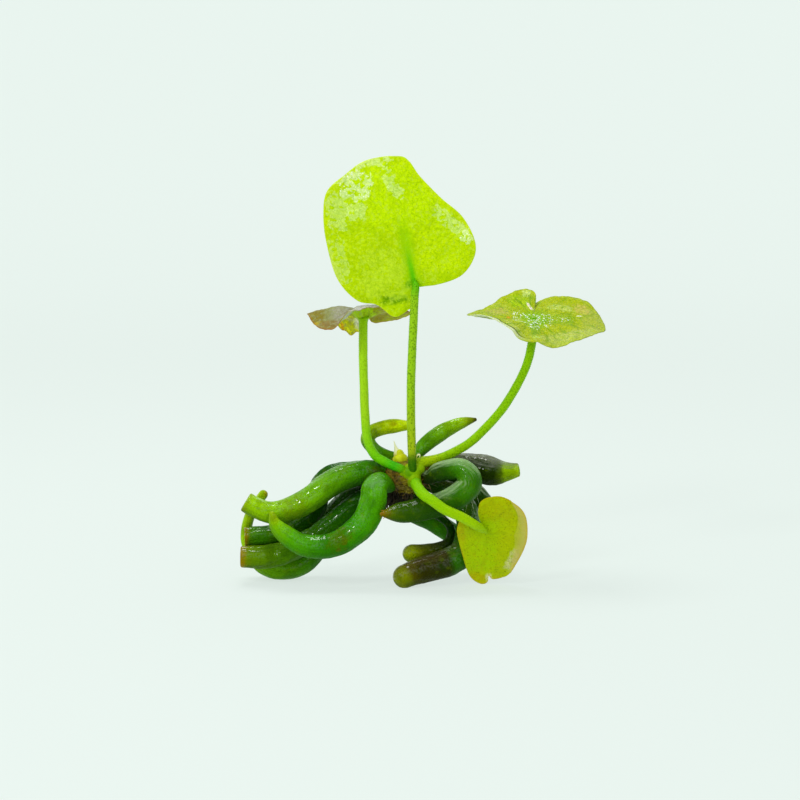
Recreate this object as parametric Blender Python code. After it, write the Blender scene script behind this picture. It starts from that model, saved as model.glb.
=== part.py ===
"""Banana lily: a small water plant standing on its own tubers.

A short crown carries thick banana-shaped tubers, four leaf stalks with heart-shaped leaves
and a bud. Sizes here are millimetres. +X is right, +Y away from the viewer and +Z up, with
the origin on the ground under the middle of the plant.
"""
import math

import bmesh
import bpy
import numpy as np

MM = 0.001

# What is cut by a neighbour keeps this gap to it.
GAP = 0.3

# Crown: a lumpy ellipsoid that all stalks and tubers are cut back from.
CROWN_CENTRE = (-3.6, -0.2, 21.4)
CROWN_RADII = (4.9, 5.2, 4.0)
CROWN_RINGS = 10
CROWN_SIDES = 18
CROWN_LUMP = 0.03

# Tubers have low lengthwise ridges, so their section is a star with rounded valleys.
TUBER_SIDES = 12
TUBER_STEP = 2.1
RIDGE_DEPTH = 0.04

STALK_SIDES = 8
STALK_STEP = 3.2
BUD_STEP = 0.8

LEAF_THICKNESS = 0.5
LEAF_RINGS = 4
LEAF_RIM_STEP = 2.2

# The block under the ground that flattens what rests on it.
GROUND_REACH = 60
GROUND_DEPTH = 10

# Each route is a list of (x, y, z, radius), from inside the crown to the tip.
TUBERS = {
    "tuber_upper_left": ("blunt", "green", [
        (-5.1, 0.5, 22.0, 1.7), (-7.9, -0.4, 22.4, 1.8), (-10.6, -1.5, 22.4, 2.35),
        (-13.2, -2.4, 22.2, 2.65), (-16.6, -3.5, 21.3, 2.7), (-19.4, -4.2, 19.8, 2.7),
        (-21.6, -4.6, 18.1, 2.65), (-24.2, -4.8, 16.4, 2.55), (-26.8, -4.9, 15.3, 2.45),
        (-29.2, -5.0, 14.7, 2.35), (-31.2, -5.0, 14.8, 2.2), (-33.4, -5.0, 15.7, 2.1),
        (-35.1, -5.0, 16.7, 2.05)]),
    "tuber_arched_left": ("blunt", "green", [
        (-4.3, 3.0, 21.6, 1.3), (-7.1, 3.9, 21.5, 1.5), (-10.4, 4.3, 21.3, 1.95),
        (-13.4, 3.8, 21.4, 2.2), (-16.0, 3.2, 21.4, 2.3), (-18.3, 2.7, 20.9, 2.35),
        (-20.1, 2.1, 19.8, 2.35), (-21.2, 1.6, 17.9, 2.3), (-21.4, 1.3, 15.4, 2.3),
        (-22.8, 0.8, 12.9, 2.3), (-25.3, 0.5, 11.2, 2.2), (-28.4, -0.2, 9.9, 2.15),
        (-31.8, -0.8, 9.2, 2.1), (-35.6, -1.1, 9.1, 2.05)]),
    "tuber_hooked_left": ("pointed", "green", [
        (-5.0, -0.6, 20.3, 1.2), (-6.9, -3.0, 19.8, 1.5), (-8.6, -6.0, 20.8, 2.2),
        (-9.7, -7.5, 19.9, 2.6), (-10.0, -8.3, 17.6, 2.75), (-11.5, -8.8, 13.7, 2.75),
        (-15.0, -9.1, 10.4, 2.6), (-18.2, -9.3, 8.9, 2.5), (-21.4, -9.4, 8.6, 2.4),
        (-24.3, -9.5, 9.2, 2.2), (-27.3, -9.5, 11.1, 1.9), (-29.2, -9.5, 13.1, 1.35),
        (-29.9, -9.4, 15.1, 0.6)]),
    "tuber_lower_left": ("blunt", "olive", [
        (-4.7, 1.4, 19.8, 1.3), (-7.9, 0.6, 18.5, 1.65), (-10.7, -0.4, 17.4, 2.0),
        (-13.7, -1.4, 15.6, 2.15), (-16.7, -2.1, 13.3, 2.25), (-19.9, -2.6, 10.7, 2.3),
        (-23.7, -3.1, 8.2, 2.35), (-27.7, -3.4, 6.2, 2.35), (-31.9, -3.6, 5.3, 2.3),
        (-36.2, -3.7, 5.4, 2.1)]),
    "tuber_curled_left": ("round", "green", [
        (-4.4, 3.8, 19.6, 1.1), (-6.6, 5.8, 18.3, 1.35), (-9.1, 5.3, 17.3, 1.8),
        (-12.3, 5.0, 16.8, 2.05), (-15.6, 4.4, 15.4, 2.2), (-18.3, 4.0, 12.4, 2.25),
        (-20.2, 3.5, 8.8, 2.3), (-21.9, 2.7, 5.6, 2.35), (-24.6, 1.7, 3.1, 2.4),
        (-28.2, 1.2, 2.2, 2.45), (-31.5, 1.5, 2.8, 2.35), (-34.0, 2.1, 4.9, 1.95),
        (-35.5, 2.6, 7.5, 1.45), (-35.7, 2.4, 10.3, 1.15), (-34.9, 1.5, 13.1, 1.05),
        (-33.5, 0.7, 15.6, 1.0), (-32.2, 0.3, 17.4, 0.95)]),
    "tuber_hairpin_right": ("pointed", "dark_green", [
        (-1.3, -1.4, 21.5, 1.3), (1.1, -3.1, 21.5, 1.45), (2.9, -4.4, 22.6, 1.95),
        (5.0, -5.5, 23.3, 2.1), (7.3, -6.4, 23.6, 2.2), (8.8, -7.2, 22.2, 2.5),
        (8.8, -7.9, 20.4, 2.6), (7.2, -8.4, 18.9, 2.6), (4.5, -8.7, 17.5, 2.55),
        (1.2, -8.9, 16.5, 2.45), (-2.3, -9.2, 15.7, 2.3), (-5.5, -10.2, 15.5, 1.85),
        (-8.2, -11.6, 15.5, 0.5)]),
    "tuber_dark_right": ("blunt", "brown", [
        (-1.7, 1.4, 22.4, 1.4), (0.7, 2.0, 22.8, 1.5), (3.4, 2.9, 23.1, 2.0),
        (6.4, 2.7, 23.2, 2.35), (9.4, 1.7, 22.9, 2.75), (12.6, 0.7, 22.3, 3.1),
        (14.9, 0.0, 22.1, 2.65), (16.7, -0.4, 22.2, 2.0), (18.9, -0.8, 22.6, 1.4)]),
    "tuber_foot_right": ("round", "brown", [
        (-2.0, 2.0, 20.4, 1.2), (0.4, 2.9, 19.4, 1.4), (3.0, 3.2, 18.5, 1.8),
        (5.8, 2.8, 17.3, 2.15), (8.0, 1.7, 15.1, 2.45), (9.1, 0.3, 12.2, 2.6),
        (9.1, -1.0, 9.0, 2.75), (7.9, -2.4, 6.1, 2.85), (5.4, -3.7, 4.6, 2.9),
        (2.9, -4.8, 3.9, 2.85), (0.6, -5.7, 3.5, 2.75), (-1.6, -6.4, 2.9, 2.6),
        (-3.7, -6.9, 2.2, 2.45)]),
    "tuber_thin_neck_right": ("round", "olive", [
        (-3.5, -0.4, 19.7, 1.1), (-2.3, -0.6, 17.5, 1.1), (-0.3, -1.0, 15.7, 1.1),
        (2.1, -0.7, 13.9, 0.95), (4.3, -0.2, 12.2, 0.85), (5.5, 0.7, 10.4, 0.85),
        (5.4, 0.8, 8.6, 0.9), (4.6, 0.6, 7.1, 1.2), (2.5, -0.1, 6.1, 1.6), (0.1, -1.1, 5.8, 1.8),
        (-2.3, -1.8, 5.8, 1.9)]),
    "tuber_back_gap": ("round", "green", [
        (-3.4, 1.6, 18.4, 1.0), (-4.4, 2.5, 16.6, 1.45), (-3.9, 3.5, 14.7, 1.9),
        (-1.6, 4.6, 12.9, 2.15), (1.2, 5.2, 11.5, 2.2), (3.6, 5.6, 10.0, 2.2),
        (5.9, 5.9, 8.5, 2.1), (8.6, 6.1, 6.8, 2.0), (11.0, 6.1, 5.4, 1.8), (13.1, 5.9, 3.8, 1.5)]),
    "tuber_back_right": ("round", "dark_green", [
        (-1.7, 4.2, 21.8, 1.1), (1.4, 5.4, 21.4, 1.2), (4.7, 6.6, 20.2, 1.55),
        (7.8, 7.2, 18.5, 1.95), (10.8, 7.4, 16.3, 2.15), (12.9, 8.2, 13.1, 2.2),
        (13.8, 9.4, 9.4, 2.2), (13.9, 10.4, 5.6, 2.1), (13.7, 10.6, 1.8, 2.0)]),
    "tuber_up_left": ("round", "yellow_green", [
        (-4.5, 1.6, 23.4, 1.0), (-5.9, 1.8, 24.8, 1.0), (-7.5, 2.6, 25.1, 1.15),
        (-9.4, 3.4, 26.1, 1.3), (-10.6, 4.0, 27.9, 1.45), (-10.0, 4.5, 29.5, 1.5),
        (-7.9, 4.9, 30.4, 1.5), (-5.5, 5.1, 30.7, 1.45), (-2.9, 5.2, 30.8, 1.0)]),
    "tuber_up_right": ("pointed", "yellow_green", [
        (-2.7, 1.8, 23.4, 1.1), (-1.3, 2.7, 25.3, 1.25), (0.1, 3.5, 26.8, 1.55),
        (2.0, 4.2, 28.3, 1.7), (4.1, 5.0, 29.6, 1.65), (6.4, 5.6, 30.7, 1.4),
        (8.5, 6.1, 31.4, 1.05), (10.5, 6.4, 31.8, 0.4)]),
}

STALKS = {
    "stalk_tall": [
        (-2.1, -3.4, 22.2, 0.8), (-2.2, -4.6, 23.0, 0.85), (-2.3, -4.5, 25.2, 0.88),
        (-2.4, -3.9, 28.6, 0.92), (-2.5, -3.1, 33.0, 0.92), (-2.5, -2.3, 40.8, 0.92),
        (-2.1, -1.3, 50.7, 0.9), (-1.8, -0.4, 56.8, 0.88), (-1.6, 0.1, 59.2, 0.8)],
    "stalk_left": [
        (-4.1, -4.3, 23.1, 0.93), (-4.9, -4.7, 23.6, 0.95), (-6.1, -4.3, 24.0, 0.98),
        (-7.8, -3.6, 24.7, 1.0), (-9.8, -2.8, 26.0, 1.0), (-11.2, -1.4, 28.8, 0.98),
        (-11.7, 0.2, 33.6, 0.96), (-11.9, 1.8, 38.4, 0.95), (-12.1, 3.5, 44.3, 0.95),
        (-12.1, 5.1, 51.2, 0.98)],
    "stalk_right": [
        (-1.3, -2.6, 23.7, 1.15), (-0.2, -2.4, 24.4, 1.08), (1.3, -1.9, 24.6, 1.08),
        (3.0, -1.4, 25.0, 1.0), (5.8, -1.1, 26.1, 0.98), (9.7, -1.0, 28.5, 0.95),
        (14.6, -0.8, 33.5, 0.94), (17.7, -0.4, 37.9, 0.92), (20.4, 0.2, 43.2, 0.92),
        (21.6, 0.7, 48.0, 0.94), (21.8, 1.1, 52.1, 0.94)],
    "stalk_small": [
        (-1.6, -3.4, 20.6, 1.0), (-1.6, -5.6, 20.8, 1.0), (-1.5, -8.4, 20.8, 1.08),
        (-0.3, -11.2, 19.5, 1.15), (1.7, -12.6, 18.3, 1.12), (4.2, -13.1, 16.6, 1.08),
        (7.4, -12.9, 15.1, 1.05), (9.8, -12.2, 13.6, 0.98), (11.4, -11.1, 12.5, 0.85)],
}

# A leaf fans out from where its stalk joins. Its own axes are across (+X) and along, which
# is +Z leant back by "lean" degrees. The rim points are (across, along, lift off the plane),
# and "arch" is how far the blade rises halfway to its rim, like a funnel over the stalk.
LEAVES = {
    "leaf_tall": dict(join=(-1.9, 1.6, 59.5), lean=8, colour="bright_green", rim=[
        (1.2, -0.4, 0), (5.2, 0.2, 0), (9.2, 1.7, 0.2), (11.7, 4.8, 0.5), (12.2, 8.4, 0.4),
        (9.8, 13.5, 0), (5.4, 17.4, 0), (1.1, 21.8, 0.2), (-1.0, 24.7, 0.4), (-3.2, 25.7, 0.4),
        (-9.4, 25.0, 0), (-13.8, 22.0, 0), (-17.3, 18.8, 0), (-18.1, 14.6, 0), (-17.5, 8.5, 0),
        (-15.3, 1.2, 0), (-11.4, -3.1, 0), (-7.4, -4.0, 0), (-3.9, -6.4, 0), (-0.8, -4.8, 0)]),
    "leaf_left": dict(join=(-12.1, 5.3, 51.8), lean=90, arch=1.6, colour="olive_green", rim=[
        (1.1, 5.0, 0.4), (2.1, 8.0, -0.9), (6.0, 8.2, -0.4), (9.5, 4.0, 1.3), (8.7, 1.2, 2.7),
        (6.2, -1.6, 3.6), (2.9, -3.4, 3.4), (0.1, -6.2, 3.0), (-2.6, -8.0, 2.4), (-4.0, -8.8, 1.4),
        (-5.6, -9.4, -0.5), (-8.0, -8.8, -0.6), (-9.4, -7.0, -0.2), (-11.2, -1.8, 1.4),
        (-10.5, 2.0, 1.3), (-8.6, 5.4, 1.5), (-6.9, 7.3, 1.7), (-5.4, 8.4, -0.2),
        (-3.8, 8.9, -2.4), (-2.2, 8.8, -3.0), (-1.0, 7.6, -2.2)]),
    "leaf_right": dict(join=(21.8, 1.2, 52.9), lean=69, colour="olive_green", rim=[
        (0.9, 5.2, 0), (1.6, 7.5, 0.1), (3.4, 8.9, 0.2), (6.8, 9.7, 0.3), (11.2, 8.3, -0.2),
        (13.5, 4.5, -1.1),
        (14.4, -1.0, -1.5), (13.9, -3.5, -1.4), (11.1, -7.0, -0.5), (7.7, -9.5, -0.5),
        (3.3, -11.5, -0.7), (0.1, -12.3, 0.8), (-3.1, -11.8, 0.9), (-5.3, -10.0, 2.7),
        (-9.2, -5.0, 2.8), (-12.2, -0.5, 1.0), (-8.8, 4.5, 0.5), (-5.5, 8.3, 0.9),
        (-1.7, 10.6, 1.2), (0.3, 10.0, 1.4), (1.0, 8.4, 1.3), (0.7, 6.6, 0.8)]),
    "leaf_small": dict(join=(12.1, -9.3, 12.1), lean=-24, colour="olive_green", rim=[
        (-1.2, 2.1, 0), (-1.5, 4.3, 0), (-0.8, 6.7, 0), (2.2, 7.9, 0.2), (5.1, 6.8, 0.3),
        (7.6, 4.1, 0.5), (8.3, -0.2, 0.6), (7.7, -4.4, 0.6), (5.2, -10.1, 0.3), (3.5, -11.7, 0),
        (1.7, -12.0, 0), (0.9, -11.2, 0), (0.7, -12.7, 0), (-0.6, -13.2, 0), (-2.9, -11.3, 0),
        (-4.5, -5.8, 0), (-5.6, -0.5, 0.2), (-5.1, 2.0, 0), (-4.3, 2.7, 0)]),
}

# Bud on top of the crown, drawn out into a pale pointed scale.
BUD = [(-5.0, -0.8, 24.4, 0.9), (-5.0, -0.9, 25.3, 1.3), (-5.1, -0.8, 26.0, 1.0),
       (-5.5, -0.7, 26.7, 0.45), (-5.8, -0.6, 27.5, 0.28), (-5.9, -0.4, 28.4, 0.1)]

# Colour, roughness.
FINISHES = {
    "green": ((0.05, 0.25, 0.01), 0.25),
    "dark_green": ((0.03, 0.12, 0.01), 0.25),
    "olive": ((0.16, 0.28, 0.01), 0.3),
    "brown": ((0.07, 0.07, 0.02), 0.3),
    "yellow_green": ((0.28, 0.45, 0.02), 0.35),
    "bright_green": ((0.42, 0.72, 0.02), 0.4),
    "olive_green": ((0.4, 0.5, 0.06), 0.35),
    "stalk_green": ((0.2, 0.5, 0.01), 0.4),
    "bark": ((0.15, 0.09, 0.02), 0.8),
    "bud_yellow": ((0.5, 0.45, 0.05), 0.45),
}


def clear_scene():
    """Remove what the open file holds."""
    for thing in list(bpy.data.objects):
        bpy.data.objects.remove(thing, do_unlink=True)


def material(name, finish):
    """A plain material of one finish."""
    colour, roughness = FINISHES[finish]
    result = bpy.data.materials.new(name)
    result.use_nodes = True
    shader = result.node_tree.nodes["Principled BSDF"]
    shader.inputs["Base Color"].default_value = (*colour, 1)
    shader.inputs["Roughness"].default_value = roughness
    shader.inputs["Metallic"].default_value = 0
    return result


def add_object(name, points, faces, finish):
    """A smooth-shaded object from points in millimetres and faces."""
    mesh = bpy.data.meshes.new(name)
    mesh.from_pydata([tuple(p * MM for p in point) for point in points], [], faces)
    model = bmesh.new()
    model.from_mesh(mesh)
    bmesh.ops.recalc_face_normals(model, faces=model.faces)
    model.to_mesh(mesh)
    model.free()
    mesh.shade_smooth()
    mesh.set_sharp_from_angle(angle=math.radians(50))
    result = bpy.data.objects.new(name, mesh)
    bpy.context.scene.collection.objects.link(result)
    mesh.materials.append(material(name, finish))
    return result


def smooth_curve(points, step):
    """Even steps along the Catmull-Rom curve through the points."""
    knots = np.asarray(points, float)
    knots = np.vstack([2 * knots[0] - knots[1], knots, 2 * knots[-1] - knots[-2]])
    t = np.linspace(0, 1, 16, endpoint=False)[:, None]
    pieces = []
    for a, b, c, d in zip(knots, knots[1:], knots[2:], knots[3:]):
        square = (2 * a - 5 * b + 4 * c - d) * t ** 2
        cube = (3 * b - a - 3 * c + d) * t ** 3
        pieces.append(b + 0.5 * ((c - a) * t + square + cube))
    fine = np.vstack(pieces + [knots[-2:-1]])
    length = np.concatenate([[0], np.cumsum(np.linalg.norm(np.diff(fine[:, :3], axis=0), axis=1))])
    even = np.linspace(0, length[-1], max(3, round(length[-1] / step)) + 1)
    return np.stack([np.interp(even, length, column) for column in fine.T], axis=1)


def tip_rings(centre, direction, radius, shape):
    """Extra (centre, radius) rings that close the end of a tuber or stalk."""
    if shape == "round":
        angles = np.radians([35, 65])
        return [(centre + direction * radius * math.sin(a), radius * math.cos(a)) for a in angles]
    if shape == "blunt":
        return [(centre + direction * 0.25, radius * 0.85)]
    return []


def tube(name, route, sides, step, shape, ridge, finish):
    """A closed tapering tube along a route, its sections turned as little as possible."""
    curve = smooth_curve(route, step)
    centres = curve[:, :3]
    tangents = np.gradient(centres, axis=0)
    tangents /= np.linalg.norm(tangents, axis=1)[:, None]
    rings = list(zip(centres, curve[:, 3]))
    rings += tip_rings(centres[-1], tangents[-1], curve[-1, 3], shape)
    pole_step = {"round": curve[-1, 3], "pointed": curve[-1, 3], "blunt": -0.1, "flat": 0}[shape]
    pole = centres[-1] + tangents[-1] * pole_step

    across = np.cross(tangents[0], (0.3, 1, 0.2))
    angles = np.arange(sides) * 2 * math.pi / sides
    section = np.where(np.arange(sides) % 2 == 0, 1, 1 - ridge)
    points = []
    for index, (centre, radius) in enumerate(rings):
        tangent = tangents[min(index, len(tangents) - 1)]
        across = across - tangent * np.dot(across, tangent)
        across /= np.linalg.norm(across)
        over = np.cross(tangent, across)
        for angle, scale in zip(angles, section):
            spoke = across * math.cos(angle) + over * math.sin(angle)
            points.append(centre + spoke * radius * scale)

    faces = [tuple(reversed(range(sides)))]
    for ring in range(len(rings) - 1):
        for side in range(sides):
            a = ring * sides + side
            b = ring * sides + (side + 1) % sides
            faces.append((a, b, b + sides, a + sides))
    points.append(pole)
    last = (len(rings) - 1) * sides
    for side in range(sides):
        faces.append((last + side, last + (side + 1) % sides, len(points) - 1))
    return add_object(name, points, faces, finish)


def leaf(name, join, lean, rim, colour, arch=0):
    """A thin blade: rings from the join out to the rim, on an upper and a lower face.

    A point at fraction s of the way to the rim point (across, along, lift) stands at
    s * across and s * along in the plane, and s * s * lift + 4 * s * (1 - s) * arch off it.
    """
    slope = math.radians(lean)
    across = np.array((1, 0, 0))
    along = np.array((0, math.sin(slope), math.cos(slope)))
    normal = np.cross(across, along)
    edge = smooth_curve(rim, LEAF_RIM_STEP)
    count = len(edge)
    points = []
    for side in (0.5, -0.5):
        offset = np.array(join) + normal * side * LEAF_THICKNESS
        points.append(offset)
        for ring in range(1, LEAF_RINGS + 1):
            s = ring / LEAF_RINGS
            for a, b, lift in edge:
                height = s * s * lift + 4 * s * (1 - s) * arch
                points.append(offset + s * (a * across + b * along) + height * normal)

    half = 1 + LEAF_RINGS * count
    faces = []
    for start in (0, half):
        for i in range(count - 1):
            faces.append((start, start + 1 + i, start + 2 + i))
        for ring in range(LEAF_RINGS - 1):
            for i in range(count - 1):
                a = start + 1 + ring * count + i
                faces.append((a, a + count, a + count + 1, a + 1))
    outer = 1 + (LEAF_RINGS - 1) * count
    for i in range(outer, outer + count - 1):
        faces.append((i, i + half, i + half + 1, i + 1))
    for first in (1, count):
        border = [0] + [first + ring * count for ring in range(LEAF_RINGS)]
        for a, b in zip(border, border[1:]):
            faces.append((a, b, b + half, a + half))
    return add_object(name, points, faces, colour)


def ellipsoid(name, grow, lump, finish):
    """The crown's ellipsoid grown by a margin, with a shallow pattern of lumps."""
    points = []
    for ring in range(1, CROWN_RINGS):
        polar = math.pi * ring / CROWN_RINGS
        for side in range(CROWN_SIDES):
            turn = 2 * math.pi * side / CROWN_SIDES
            size = 1 - lump * (1 + math.sin(3 * turn + 2 * ring) * math.sin(4 * polar))
            spoke = (math.sin(polar) * math.cos(turn), math.sin(polar) * math.sin(turn),
                     math.cos(polar))
            points.append([c + s * (r + grow) * size
                           for c, s, r in zip(CROWN_CENTRE, spoke, CROWN_RADII)])
    faces = []
    for ring in range(CROWN_RINGS - 2):
        for side in range(CROWN_SIDES):
            a = ring * CROWN_SIDES + side
            b = ring * CROWN_SIDES + (side + 1) % CROWN_SIDES
            faces.append((a, b, b + CROWN_SIDES, a + CROWN_SIDES))
    x, y, z = CROWN_CENTRE
    height = (CROWN_RADII[2] + grow) * (1 - lump)
    points += [(x, y, z + height), (x, y, z - height)]
    bottom = (CROWN_RINGS - 2) * CROWN_SIDES
    for side in range(CROWN_SIDES):
        after = (side + 1) % CROWN_SIDES
        faces.append((side, after, len(points) - 2))
        faces.append((bottom + after, bottom + side, len(points) - 1))
    return add_object(name, points, faces, finish)


def ground_block():
    """A block under the ground plane, for flattening what rests on it."""
    sides = (-GROUND_REACH, GROUND_REACH)
    points = [(x, y, z) for z in (-GROUND_DEPTH, 0) for y in sides for x in sides]
    faces = [(0, 1, 3, 2), (4, 5, 7, 6), (0, 1, 5, 4), (2, 3, 7, 6), (0, 2, 6, 4), (1, 3, 7, 5)]
    return add_object("ground_block", points, faces, "bark")


def make_cutter(thing):
    """Keep an object only as a cutting shape."""
    thing.hide_render = True
    thing.display_type = "WIRE"
    return thing


def cut(thing, cutter):
    """Take the cutter's shape away from an object."""
    modifier = thing.modifiers.new(cutter.name, "BOOLEAN")
    modifier.operation = "DIFFERENCE"
    modifier.solver = "EXACT"
    modifier.object = cutter


def build():
    """Model the plant."""
    clear_scene()
    ellipsoid("crown", 0, CROWN_LUMP, "bark")
    crown_cutter = make_cutter(ellipsoid("crown_cutter", GAP, 0, "bark"))
    ground = make_cutter(ground_block())
    for name, (shape, colour, route) in TUBERS.items():
        tuber = tube(name, route, TUBER_SIDES, TUBER_STEP, shape, RIDGE_DEPTH, colour)
        cut(tuber, crown_cutter)
        if min(z - radius for x, y, z, radius in route) < 0:
            cut(tuber, ground)
    for name, route in STALKS.items():
        stalk = tube(name, route, STALK_SIDES, STALK_STEP, "flat", 0, "stalk_green")
        cut(stalk, crown_cutter)
    bud = tube("crown_bud", BUD, STALK_SIDES, BUD_STEP, "pointed", 0, "bud_yellow")
    cut(bud, crown_cutter)
    for name, shape in LEAVES.items():
        leaf(name, **shape)


build()
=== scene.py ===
"""Banana lily: the skins, blades, crown and stage of a small water plant.

Sizes in the tables are millimetres, in the frame's axes: +X right, +Y away from the viewer
and +Z up, with the origin on the ground under the middle of the plant.
"""
import math

import bpy
import numpy as np
from bpy.props import FloatProperty, FloatVectorProperty, PointerProperty
from bpy.types import Operator, Panel, PropertyGroup
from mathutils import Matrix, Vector


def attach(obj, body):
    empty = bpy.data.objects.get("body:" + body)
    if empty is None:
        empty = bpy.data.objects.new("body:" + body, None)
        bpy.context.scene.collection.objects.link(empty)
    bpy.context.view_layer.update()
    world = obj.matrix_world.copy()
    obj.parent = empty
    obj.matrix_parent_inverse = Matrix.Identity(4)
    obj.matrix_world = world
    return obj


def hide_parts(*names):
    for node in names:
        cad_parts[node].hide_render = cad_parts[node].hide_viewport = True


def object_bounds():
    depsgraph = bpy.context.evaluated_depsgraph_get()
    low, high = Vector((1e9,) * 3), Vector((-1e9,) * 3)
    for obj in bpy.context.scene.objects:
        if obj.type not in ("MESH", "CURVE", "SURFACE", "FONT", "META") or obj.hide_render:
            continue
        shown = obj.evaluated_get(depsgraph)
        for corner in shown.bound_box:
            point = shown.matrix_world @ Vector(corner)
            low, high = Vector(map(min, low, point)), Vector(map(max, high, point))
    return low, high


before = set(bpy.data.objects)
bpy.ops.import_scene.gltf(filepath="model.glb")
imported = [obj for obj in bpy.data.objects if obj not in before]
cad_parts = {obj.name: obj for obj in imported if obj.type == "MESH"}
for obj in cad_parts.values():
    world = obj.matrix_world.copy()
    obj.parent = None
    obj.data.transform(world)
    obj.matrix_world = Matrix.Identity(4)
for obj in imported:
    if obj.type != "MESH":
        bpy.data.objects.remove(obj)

bl_info = {
    "name": "Banana Lily",
    "version": (1, 0, 0),
    "blender": (4, 5, 0),
    "location": "3D View > Sidebar > Banana Lily",
    "description": "Dresses the banana lily's solids with skins, leaf blades and a crown",
    "category": "Object",
}

MM = 0.001
CAD_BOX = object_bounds()
BODY = "root"

# Directions that sections are measured from. Angle 0 of a tuber's section faces the viewer.
TO_VIEWER = (0, -1, 0)
UPWARDS = (0, 0, 1)

CROWN_CENTRE = (-3.6, -0.2, 21.4)
CROWN_RADII = (4.9, 5.2, 4.0)

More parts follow.
